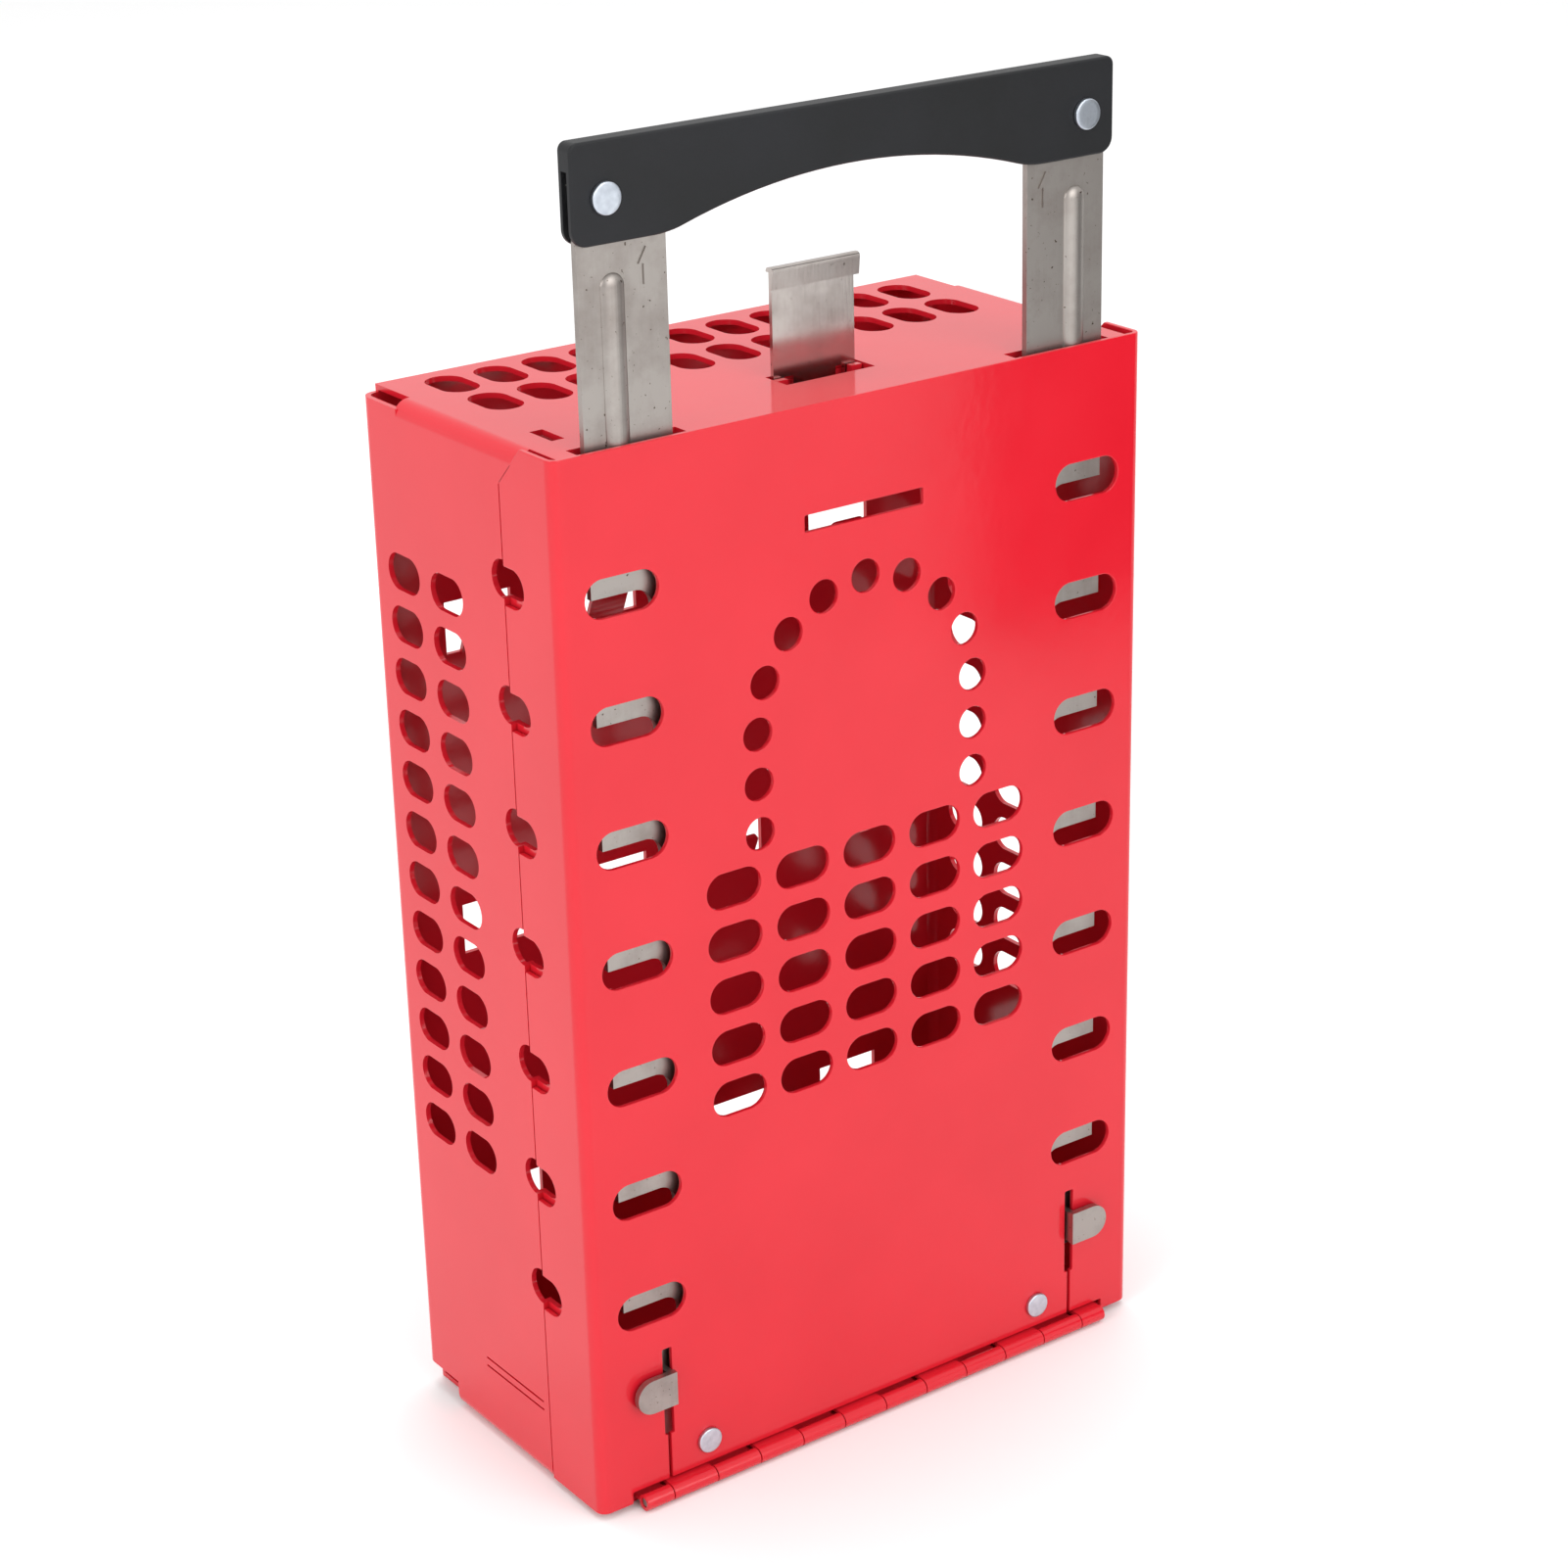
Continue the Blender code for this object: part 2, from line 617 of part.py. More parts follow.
def handle_grip():
    """The moulded grip: folded over the tops of both bars, with an arched underside for the hand."""
    low, high = HANDLE_LOW, HANDLE_HIGH
    foot, head = HANDLE_CORNERS
    rise, half = HANDLE_ARCH, HANDLE_ARCH_HALF
    big = (half * half + rise * rise) / (2 * rise)
    spread = math.degrees(math.asin(half / big))
    outline = arc(HANDLE_HALF - foot, low + foot, foot, -90, 0, 4)
    outline += arc(HANDLE_HALF - head, high - head, head, 0, 90, 4)
    outline += arc(head - HANDLE_HALF, high - head, head, 90, 180, 4)
    outline += arc(foot - HANDLE_HALF, low + foot, foot, 180, 270, 4)
    outline += arc(0, low + rise - big, big, 90 + spread, 90 - spread, 20)
    front = BAR_FRONT - WELD_GAP - HANDLE_SHEET
    back = BAR_BACK + WELD_GAP + HANDLE_SHEET
    x, z, bore = HANDLE_RIVET[0], HANDLE_RIVET[1], RIVET_SHANK + RIVET_FIT
    grip = extruded("handle_grip", [outline, circle(-x, z, bore), circle(x, z, bore)], "Y", front, back)
    room = rectangle(-HANDLE_HALF - 2, HANDLE_HALF + 2, low - 2, high - HANDLE_FOLD)
    cut(grip, extruded("grip_room", [room], "Y", BAR_FRONT - WELD_GAP, BAR_BACK + WELD_GAP))
    return shade(grip, finish("handle_grip", BLACK, 0.55, 0.0))


def handle_rivet():
    x, z, head = HANDLE_RIVET
    front = BAR_FRONT - WELD_GAP - HANDLE_SHEET - RIVET_FIT
    back = BAR_BACK + WELD_GAP + HANDLE_SHEET + RIVET_FIT
    return rivet("handle_rivet_right", (x, z), head, "Y", front, back)


def rivet(name, spot, head, along, low, high):
    """A rivet with a head outside low and another outside high."""
    body = cylinder(name, spot, RIVET_SHANK, along, low - RIVET_HEAD / 2, high + RIVET_HEAD / 2)
    join(body, cylinder(name + "_head", spot, head * 0.86, along, low - RIVET_HEAD, low, head))
    join(body, cylinder(name + "_tail", spot, head, along, high, high + RIVET_HEAD, head * 0.86))
    return shade(body, zinc(name))


# The hinge.


def knuckle_ends():
    """The x of both ends of each knuckle, from left to right."""
    joints = [(step - (KNUCKLES - 2) / 2) * KNUCKLE_PITCH for step in range(KNUCKLES - 1)]
    edges = [-HINGE_HALF] + joints + [HINGE_HALF]
    return [(edges[n] + 0.15, edges[n + 1] - 0.15) for n in range(KNUCKLES)]


def add_knuckles(leaf, first, material):
    """Joins a knuckle to the leaf at every second place and drills them all for the pin."""
    for low, high in knuckle_ends()[first::2]:
        knuckle = f"{leaf.name}_knuckle_{low:.0f}"
        join(leaf, cylinder(knuckle, (PIN_Y, PIN_Z), BARREL, "X", low, high))
    reach = HINGE_HALF + 1
    hole = cylinder(leaf.name + "_pin_hole", (PIN_Y, PIN_Z), PIN_HOLE, "X", -reach, reach)
    return shade(cut(leaf, hole), material)


def hinge_door_leaf():
    front = SHEET + WELD_GAP
    back = front + LEAF_SHEET
    low = PIN_Z + BARREL + 0.3
    plate = rectangle(-HINGE_HALF, HINGE_HALF, low, DOOR_LEAF_HIGH)
    x, z, bore = DOOR_RIVET[0], DOOR_RIVET[1], RIVET_SHANK + RIVET_FIT
    leaf = extruded("hinge_door_leaf", [plate, circle(-x, z, bore), circle(x, z, bore)], "Y", front, back)
    web = PIN_Z + BARREL - 0.05
    finger = [(PIN_Y, web - LEAF_SHEET), (back - 0.05, web - LEAF_SHEET), (back - 0.05, low + 1)]
    finger += [(front + 0.05, low + 1), (front + 0.05, web), (PIN_Y, web)]
    for start, end in knuckle_ends()[1::2]:
        ends = max(start + 0.05, 0.1 - HINGE_HALF), min(end - 0.05, HINGE_HALF - 0.1)
        join(leaf, extruded(f"door_finger_{start:.0f}", [finger], "X", *ends))
    return add_knuckles(leaf, 1, paint("hinge_door_leaf"))


def hinge_body_leaf():
    low = SHEET + WELD_GAP
    front = SHEET + WELD_GAP + LEAF_SHEET + 0.8
    plate = rectangle(-HINGE_HALF, HINGE_HALF, PIN_Y, BODY_LEAF_BACK)
    x, y, bore = DOOR_RIVET[0], BODY_RIVET_BACK, RIVET_SHANK + RIVET_FIT
    outlines = [plate, circle(-x, y, bore), circle(x, y, bore)]
    leaf = extruded("hinge_body_leaf", outlines, "Z", low, low + LEAF_SHEET)
    ends = [(start - 0.25, end + 0.25) for start, end in knuckle_ends()[1::2]]
    gaps = [rectangle(start, end, PIN_Y - 1, front) for start, end in ends[:-1]]
    gaps.append(rectangle(ends[-1][0], HINGE_HALF + 1, PIN_Y - 1, front))
    gaps.append(rectangle(-HINGE_HALF - 1, 0.25 - HINGE_HALF, PIN_Y - 1, front))
    cut(leaf, extruded("hinge_body_leaf_gaps", gaps, "Z", low - 1, low + LEAF_SHEET + 1))
    return add_knuckles(leaf, 0, paint("hinge_body_leaf"))


def hinge_pin():
    reach = HINGE_HALF - 0.4
    pin = cylinder("hinge_pin", (PIN_Y, PIN_Z), PIN, "X", -reach, reach, steps=16)
    return shade(pin, steel("hinge_pin"))


def door_rivet():
    x, z, head = DOOR_RIVET
    back = SHEET + WELD_GAP + LEAF_SHEET + RIVET_FIT
    return rivet("hinge_rivet_door_right", (x, z), head, "Y", -RIVET_FIT, back)


def body_rivet():
    """Its lower head is set flush in the bottom plate, so the box stands on the plate."""
    name = "hinge_rivet_body_right"
    spot = (DOOR_RIVET[0], BODY_RIVET_BACK)
    top = SHEET + WELD_GAP + LEAF_SHEET + RIVET_FIT
    head = DOOR_RIVET[2]
    body = cylinder(name, spot, RIVET_SHANK, "Z", 0.2, top + RIVET_HEAD / 2)
    join(body, cylinder(name + "_foot", spot, SEAT_RADIUS, "Z", 0.15, SEAT_DEEP))
    join(body, cylinder(name + "_tail", spot, head, "Z", top, top + RIVET_HEAD, head * 0.86))
    return shade(body, zinc(name))


# The latch.


def latch_strip():
    """The sliding latch: a steel strip with two guided legs, a nose between them and a curled lip."""
    half, nose = LATCH_WIDTH / 2, LATCH_NOSE / 2
    gap_top, nose_low = HEIGHT - 0.2, CATCH_Z + 2.4
    ear_out, ear_low, ear_high = half + LATCH_EAR[0], HEIGHT - LATCH_EAR[1], HEIGHT - SHEET - 0.3
    left = [(-half, LATCH_LEG_LOW), (LATCH_LEG - half, LATCH_LEG_LOW)]
    left += [(LATCH_LEG - half, gap_top), (-nose, gap_top), (-nose, nose_low)]
    outline = [(x + LATCH_MIDDLE, z) for x, z in left]
    outline += [(LATCH_MIDDLE - x, z) for x, z in reversed(left)]
    side = [(half, ear_low), (ear_out, ear_low), (ear_out, ear_high), (half, ear_high)]
    side += [(half, LATCH_HIGH - 0.8)]
    outline += [(LATCH_MIDDLE + x, z) for x, z in side]
    outline += [(LATCH_MIDDLE - x, z) for x, z in reversed(side)]
    strip = extruded("latch_strip", [outline], "Y", LATCH_BACK, LATCH_BACK + LATCH_SHEET)
    back, high, front = LATCH_BACK + LATCH_SHEET - 0.05, LATCH_HIGH, LATCH_BACK - LIP_REACH
    low = high - LIP_DROP
    lip = [(back, high - 1.2), (back, high - 0.5), (back - 0.5, high), (front + 0.5, high)]
    lip += [(front, high - 0.5), (front, low), (front + 0.9, low), (front + 0.9, high - 1.2)]
    reach = LIP_WIDTH / 2
    join(strip, extruded("latch_lip", [lip], "X", LATCH_MIDDLE - reach, LATCH_MIDDLE + reach))
    return shade(strip, steel("latch_strip"))


def latch_bracket():
    """Two guide channels and a cross plate, welded under the top plate behind its slot."""
    half = LATCH_WIDTH / 2
    floor, under = LATCH_FLOOR, HEIGHT - SHEET - WELD_GAP
    front, back = LATCH_BACK - FIT, LATCH_BACK + LATCH_SHEET + FIT
    edge, room = half - 2.4, half + LATCH_EAR[0] + FIT
    right = [(room + 1, back + 1), (room + 1, front - 1), (edge, front - 1)]
    right += [(edge, front), (room, front), (room, back)]
    left = [(-x, y) for x, y in reversed(right)]
    outline = [(LATCH_MIDDLE + x, y) for x, y in right + left]
    bracket = extruded("latch_guide", [outline], "Z", floor, under)
    gap = rectangle(LATCH_MIDDLE - edge, LATCH_MIDDLE + edge, back - 0.5, back + 2)
    cut(bracket, extruded("latch_guide_gap", [gap], "Z", floor - 1, CATCH_Z + 2.4))
    for side in (-1, 1):
        ends = sorted((LATCH_MIDDLE + side * (edge + 0.05), LATCH_MIDDLE + side * (room + 0.95)))
        shelf = rectangle(*ends, front - 0.95, back + 0.95)
        join(bracket, extruded(f"latch_floor_{side}", [shelf], "Z", floor + 0.05, floor + 1))
        ends = sorted((LATCH_MIDDLE + side * (edge + 0.05), LATCH_MIDDLE + side * (half + 0.4)))
        lug = rectangle(*ends, front - 1.6, front - 0.05)
        join(bracket, extruded(f"latch_lug_{side}", [lug], "Z", under - 4, HEIGHT - 0.2))
    return shade(bracket, paint("latch_guide"))


def axis_empty(name, y, z):
    empty = bpy.data.objects.new(name, None)
    empty.location = (0, (y - DEPTH / 2) * MM, z * MM)
    return place(empty)


def hang(children, empty):
    bpy.context.view_layer.update()
    for child in children:
        child.parent = empty
        child.matrix_parent_inverse = empty.matrix_world.inverted()


def main():
    side, guide, bar = right_side(), bar_guide(), right_bar()
    grip_rivet, leaf_rivet, floor_rivet = handle_rivet(), door_rivet(), body_rivet()
    top_plate()
    bottom_plate()
    back_panel()
    mirrored(side, "left_side", paint("left_side"))
    hinge_body_leaf()
    hinge_pin()
    mirrored(floor_rivet, "hinge_rivet_body_left", zinc("hinge_rivet_body_left"))
    latch_bracket()

    door_axis = axis_empty("door_hinge_axis", PIN_Y, PIN_Z)
    left_guide = mirrored(guide, "bar_guide_left", steel("bar_guide_left"))
    left_rivet = mirrored(leaf_rivet, "hinge_rivet_door_left", zinc("hinge_rivet_door_left"))
    on_door = [door_panel(), door_catch(), guide, left_guide, hinge_door_leaf(), leaf_rivet, left_rivet]
    handle_axis = axis_empty("handle_slide_axis", BAR_FRONT, HANDLE_RIVET[1])
    left_bar = mirrored(bar, "bar_left", steel("bar_left"))
    left_grip_rivet = mirrored(grip_rivet, "handle_rivet_left", zinc("handle_rivet_left"))
    hang([bar, left_bar, handle_grip(), grip_rivet, left_grip_rivet], handle_axis)
    hang(on_door + [handle_axis], door_axis)
    hang([latch_strip()], axis_empty("latch_slide_axis", LATCH_BACK, HEIGHT))


main()
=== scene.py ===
import math

import bmesh
import bpy
from mathutils import Matrix, Vector


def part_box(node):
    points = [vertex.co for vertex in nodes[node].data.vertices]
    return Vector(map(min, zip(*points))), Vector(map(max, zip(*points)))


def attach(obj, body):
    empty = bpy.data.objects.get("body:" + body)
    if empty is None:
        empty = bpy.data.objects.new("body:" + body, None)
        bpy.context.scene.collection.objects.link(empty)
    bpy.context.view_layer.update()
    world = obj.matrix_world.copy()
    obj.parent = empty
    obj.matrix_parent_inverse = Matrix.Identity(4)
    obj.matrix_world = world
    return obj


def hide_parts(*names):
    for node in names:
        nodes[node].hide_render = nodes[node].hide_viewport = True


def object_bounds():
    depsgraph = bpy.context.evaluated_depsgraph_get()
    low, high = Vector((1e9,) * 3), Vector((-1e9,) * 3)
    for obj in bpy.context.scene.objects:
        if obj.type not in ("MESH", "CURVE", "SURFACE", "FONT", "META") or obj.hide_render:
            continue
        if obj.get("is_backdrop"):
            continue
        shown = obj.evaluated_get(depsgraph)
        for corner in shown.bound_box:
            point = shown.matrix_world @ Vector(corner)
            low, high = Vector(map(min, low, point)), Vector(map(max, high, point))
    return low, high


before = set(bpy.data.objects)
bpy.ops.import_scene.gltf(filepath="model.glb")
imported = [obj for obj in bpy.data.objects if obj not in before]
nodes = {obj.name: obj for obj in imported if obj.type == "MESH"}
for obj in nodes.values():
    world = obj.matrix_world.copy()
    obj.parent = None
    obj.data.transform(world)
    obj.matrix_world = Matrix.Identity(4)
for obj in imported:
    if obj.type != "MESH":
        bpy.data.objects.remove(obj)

cadBox = [list(corner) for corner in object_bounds()]
mm = 0.001
# y is counted back from the door's front face, as a sheet-metal drawing would
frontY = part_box("door_panel")[0][1] / mm


def say(text):
    print("lockout box:", text)


# small helpers for modelling


def clearSelection():
    if bpy.context.mode != "OBJECT":
        bpy.ops.object.mode_set(mode="OBJECT")
    bpy.ops.object.select_all(action="DESELECT")


def makeActive(piece):
    clearSelection()
    piece.select_set(True)
    bpy.context.view_layer.objects.active = piece


def spot(x, y, z):
    return Vector((x, y + frontY, z)) * mm


def drawn(point):
    return Vector((point.x / mm, point.y / mm - frontY, point.z / mm))


def addBlock(name, low, high):
    clearSelection()
    bpy.ops.mesh.primitive_cube_add(size=1, location=(spot(*low) + spot(*high)) / 2)
    block = bpy.context.object
    block.name = name
    block.scale = [(b - a) * mm for a, b in zip(low, high)]
    bpy.ops.object.transform_apply(location=True, rotation=True, scale=True)
    return block


turns = {
    "X": Matrix.Rotation(math.radians(90), 4, "Y") @ Matrix.Rotation(math.radians(90), 4, "Z"),
    "Y": Matrix.Rotation(math.radians(90), 4, "X"),
    "Z": Matrix.Rotation(math.radians(90), 4, "Z"),
}


def addRod(name, middle, radius, depth, drill, sides=32, stretch=0.0):
    # a rod along drill; stretch pulls it apart into a pill for a round-ended slot
    clearSelection()
    bpy.ops.mesh.primitive_cylinder_add(vertices=sides, radius=radius * mm, depth=depth * mm)
    rod = bpy.context.object
    rod.name = name
    rod.rotation_euler.z = math.pi / sides
    bpy.ops.object.transform_apply(rotation=True)
    if stretch:
        for side in (-1, 1):
            pickVerts(rod, lambda p: p.x * side > 0)
            bpy.ops.transform.translate(value=(side * stretch / 2 * mm, 0, 0))
    bpy.ops.object.mode_set(mode="OBJECT")
    rod.matrix_world = Matrix.Translation(spot(*middle)) @ turns[drill]
    makeActive(rod)
    bpy.ops.object.transform_apply(location=True, rotation=True, scale=True)
    return rod


def span(side, inner, outer):
    # the two x values of a stretch on the left (-1) or the right (1), lower one first
    return sorted((side * inner, side * outer))


def addSlotTool(name, middle, length, height, depth, drill, sides=32):
    return addRod(name, middle, height / 2, depth, drill, sides, length - height)


def pickVerts(piece, wanted):
    if bpy.context.mode == "OBJECT":
        makeActive(piece)
        bpy.ops.object.mode_set(mode="EDIT")
    bpy.ops.mesh.select_mode(type="VERT")
    bpy.ops.mesh.select_all(action="DESELECT")
    mesh = bmesh.from_edit_mesh(piece.data)
    for vert in mesh.verts:
        vert.select_set(bool(wanted(vert.co)))
    mesh.select_flush(True)
    bmesh.update_edit_mesh(piece.data)


def roundEdges(piece, wanted, radius, segments=8):
    # wanted gets both ends of an edge in drawing millimetres
    makeActive(piece)
    bpy.ops.object.mode_set(mode="EDIT")
    bpy.ops.mesh.select_mode(type="EDGE")
    bpy.ops.mesh.select_all(action="DESELECT")
    mesh = bmesh.from_edit_mesh(piece.data)
    for edge in mesh.edges:
        edge.select_set(bool(wanted(drawn(edge.verts[0].co), drawn(edge.verts[1].co))))
    bmesh.update_edit_mesh(piece.data)
    bpy.ops.mesh.bevel(offset=radius * mm, segments=segments, affect="EDGES", clamp_overlap=False)
    bpy.ops.object.mode_set(mode="OBJECT")
    return piece


def runsAlong(a, b, axis, length=1.0):
    return abs(getattr(a - b, axis)) > length and (a - b).length < abs(getattr(a - b, axis)) + 0.01


def near(a, b, axis, value, slack=0.02):
    return abs(getattr(a, axis) - value) < slack and abs(getattr(b, axis) - value) < slack


def copyTo(piece, offsets):
    # the first stays where it is, each other copy gets its own mesh
    copies = [piece]
    for offset in offsets:
        copy = piece.copy()
        copy.data = piece.data.copy()
        copy.data.transform(Matrix.Translation(Vector(offset) * mm))
        bpy.context.scene.collection.objects.link(copy)
        copies.append(copy)
    return copies


def joinAll(pieces):
    clearSelection()
    for piece in pieces:
        piece.select_set(True)
    bpy.context.view_layer.objects.active = pieces[0]
    if len(pieces) > 1:
        bpy.ops.object.join()
    return bpy.context.view_layer.objects.active


def combine(piece, tool, operation):
    step = piece.modifiers.new(operation.lower(), "BOOLEAN")
    step.operation = operation
    step.solver = "EXACT"
    step.object = tool
    makeActive(piece)
    bpy.ops.object.modifier_apply(modifier=step.name)
    bpy.data.objects.remove(tool, do_unlink=True)
    return piece


def cutOut(piece, tool):
    return combine(piece, tool, "DIFFERENCE")


def weldOn(piece, tool):
    return combine(piece, tool, "UNION")


def cleanUp(piece):
    makeActive(piece)
    bpy.ops.object.mode_set(mode="EDIT")
    bpy.ops.mesh.select_all(action="SELECT")
    bpy.ops.mesh.remove_doubles(threshold=0.000004)
    bpy.ops.mesh.dissolve_limited(angle_limit=math.radians(0.3))
    bpy.ops.mesh.normals_make_consistent(inside=False)
    bpy.ops.object.mode_set(mode="OBJECT")


def softenEdges(piece, width, segments=2, angle=32, smooth=34):
    # the small radius that paint, plating or deburring leaves on every edge
    cleanUp(piece)
    bevel = piece.modifiers.new("soften", "BEVEL")
    bevel.width = width * mm
    bevel.segments = segments
    bevel.limit_method = "ANGLE"
    bevel.angle_limit = math.radians(angle)
    bevel.use_clamp_overlap = True
    bevel.miter_outer = "MITER_ARC"
    makeActive(piece)
    bpy.ops.object.modifier_apply(modifier=bevel.name)
    smoothen(piece, smooth)
    return piece


def smoothen(piece, angle=34):
    makeActive(piece)
    bpy.ops.object.shade_smooth_by_angle(angle=math.radians(angle))
    weighted = piece.modifiers.new("flatFaces", "WEIGHTED_NORMAL")
    weighted.keep_sharp = True
    weighted.weight = 80
    bpy.ops.object.modifier_apply(modifier=weighted.name)


def mirrorX(piece, name):
    copy = piece.copy()
    copy.data = piece.data.copy()
    copy.name = name
    bpy.context.scene.collection.objects.link(copy)
    makeActive(copy)
    copy.scale.x = -1
    bpy.ops.object.transform_apply(scale=True)
    bpy.ops.object.mode_set(mode="EDIT")
    bpy.ops.mesh.select_all(action="SELECT")
    bpy.ops.mesh.normals_make_consistent(inside=False)
    bpy.ops.object.mode_set(mode="OBJECT")
    return copy


# materials


def srgb(code):
    values = [int(code[i : i + 2], 16) / 255 for i in (1, 3, 5)]
    return tuple(v / 12.92 if v <= 0.04045 else ((v + 0.055) / 1.055) ** 2.4 for v in values) + (1.0,)


def addNode(tree, kind, links=None, **settings):
    node = tree.nodes.new("ShaderNode" + kind)
    for name, value in settings.items():
        if hasattr(node, name) and name not in node.inputs:
            setattr(node, name, value)
        else:
            node.inputs[name].default_value = value
    for name, source in (links or {}).items():
        tree.links.new(source, node.inputs[name])
    return node


def startMaterial(name):
    material = bpy.data.materials.new(name)
    material.use_nodes = True
    tree = material.node_tree
    shader = tree.nodes["Principled BSDF"]
    place = addNode(tree, "TexCoord").outputs["Object"]
    return material, tree, shader, place


def setRamp(node, stops):
    ramp = node.color_ramp
    while len(ramp.elements) < len(stops):
        ramp.elements.new(0.5)
    for element, (position, colour) in zip(ramp.elements, stops):
        element.position = position
        element.color = colour
    return node.outputs["Color"]


def grey(value):
    return (value, value, value, 1.0)


def perMm(size):
    # noise scale for features of this many millimetres
    return 1 / (size * mm)


def powderCoat():
    # polyester powder coat on steel sheet: cured glossy with a fine orange peel of about 2 mm
    look = dict(deep="#CA1B29", bright="#D01F2D", peelMm=2.0, rippleMm=9.0)
    material, tree, shader, place = startMaterial("redPowderCoat")
    cloud = addNode(tree, "TexNoise", {"Vector": place}, Scale=perMm(38), Detail=3.0)
    shade = addNode(tree, "ValToRGB", {"Fac": cloud.outputs["Fac"]})
    tone = setRamp(shade, [(0.3, srgb(look["deep"])), (0.7, srgb(look["bright"]))])
    tree.links.new(tone, shader.inputs["Base Color"])
    # faint handling marks only change the gloss
    wipe = addNode(tree, "Mapping", {"Vector": place}, Scale=(1.0, 1.0, 0.35))
    marks = addNode(tree, "TexNoise", {"Vector": wipe.outputs["Vector"]}, Scale=perMm(14), Detail=6.0)
    gloss = addNode(tree, "MapRange", {"Value": marks.outputs["Fac"]})
    for name, value in (("From Min", 0.3), ("From Max", 0.75), ("To Min", 0.10), ("To Max", 0.15)):
        gloss.inputs[name].default_value = value
    tree.links.new(gloss.outputs["Result"], shader.inputs["Roughness"])
    peel = addNode(tree, "TexNoise", {"Vector": place}, Scale=perMm(look["peelMm"]), Detail=1.5)
    ripple = addNode(tree, "TexNoise", {"Vector": place}, Scale=perMm(look["rippleMm"]), Detail=1.0)
    coarse = addNode(tree, "Bump", {"Height": ripple.outputs["Fac"]}, Strength=0.05, Distance=0.0005)
    bumps = {"Height": peel.outputs["Fac"], "Normal": coarse.outputs["Normal"]}
    fine = addNode(tree, "Bump", bumps, Strength=0.06, Distance=0.0002)
    tree.links.new(fine.outputs["Normal"], shader.inputs["Normal"])
    shader.inputs["IOR"].default_value = 1.45
    return material


def rolledStainless(
    name="rolledStainless", grain=(1.0, 1.0, 0.04), worn="#8F8782", clean="#A49E99", dull=0.42, bright=0.37
):
    # 304 strip as it leaves the rolls: dull grey, fine vertical rolling lines, faint heat and finger stains
    material, tree, shader, place = startMaterial(name)
    lines = addNode(tree, "Mapping", {"Vector": place}, Scale=grain)
    roll = addNode(tree, "TexNoise", {"Vector": lines.outputs["Vector"]}, Scale=perMm(0.55), Detail=5.0)
    stain = addNode(tree, "TexNoise", {"Vector": place}, Scale=perMm(13), Detail=7.0, Roughness=0.62)
    blend = addNode(tree, "Mix", {"A": stain.outputs["Fac"], "B": roll.outputs["Fac"]}, Factor=0.10)
    shade = addNode(tree, "ValToRGB", {"Fac": blend.outputs["Result"]})
    tone = setRamp(shade, [(0.3, srgb(worn)), (0.55, srgb(clean))])
    dots = addNode(tree, "TexNoise", {"Vector": place}, Scale=perMm(0.9), Detail=2.0)
    spread = addNode(tree, "ValToRGB", {"Fac": dots.outputs["Fac"]})
    pits = setRamp(spread, [(0.69, grey(0)), (0.76, grey(1))])
    spotty = addNode(tree, "Mix", {"Factor": pits, "A": tone}, data_type="RGBA")
    spotty.inputs["B"].default_value = srgb("#4A3A31")
    tree.links.new(spotty.outputs["Result"], shader.inputs["Base Color"])
    gloss = addNode(tree, "MapRange", {"Value": stain.outputs["Fac"]})
    for key, value in (("From Min", 0.3), ("From Max", 0.7), ("To Min", dull), ("To Max", bright)):
        gloss.inputs[key].default_value = value
    tree.links.new(gloss.outputs["Result"], shader.inputs["Roughness"])
    relief = addNode(tree, "Bump", {"Height": roll.outputs["Fac"]}, Strength=0.07, Distance=0.0001)
    tree.links.new(relief.outputs["Normal"], shader.inputs["Normal"])
    shader.inputs["Metallic"].default_value = 1.0
    return material


def zincPlate():
    # bright zinc on a cold-headed rivet: pale and bluish, a little cloudy
    material, tree, shader, place = startMaterial("zincPlate")
    cloud = addNode(tree, "TexNoise", {"Vector": place}, Scale=perMm(1.6), Detail=5.0)
    shade = addNode(tree, "ValToRGB", {"Fac": cloud.outputs["Fac"]})
    tone = setRamp(shade, [(0.3, srgb("#B4BBC5")), (0.7, srgb("#CCD3DC"))])
    tree.links.new(tone, shader.inputs["Base Color"])
    gloss = addNode(tree, "MapRange", {"Value": cloud.outputs["Fac"]})
    for key, value in (("From Min", 0.3), ("From Max", 0.7), ("To Min", 0.38), ("To Max", 0.3)):
        gloss.inputs[key].default_value = value
    tree.links.new(gloss.outputs["Result"], shader.inputs["Roughness"])
    relief = addNode(tree, "Bump", {"Height": cloud.outputs["Fac"]}, Strength=0.15, Distance=0.0001)
    tree.links.new(relief.outputs["Normal"], shader.inputs["Normal"])
    shader.inputs["Metallic"].default_value = 1.0
    return material


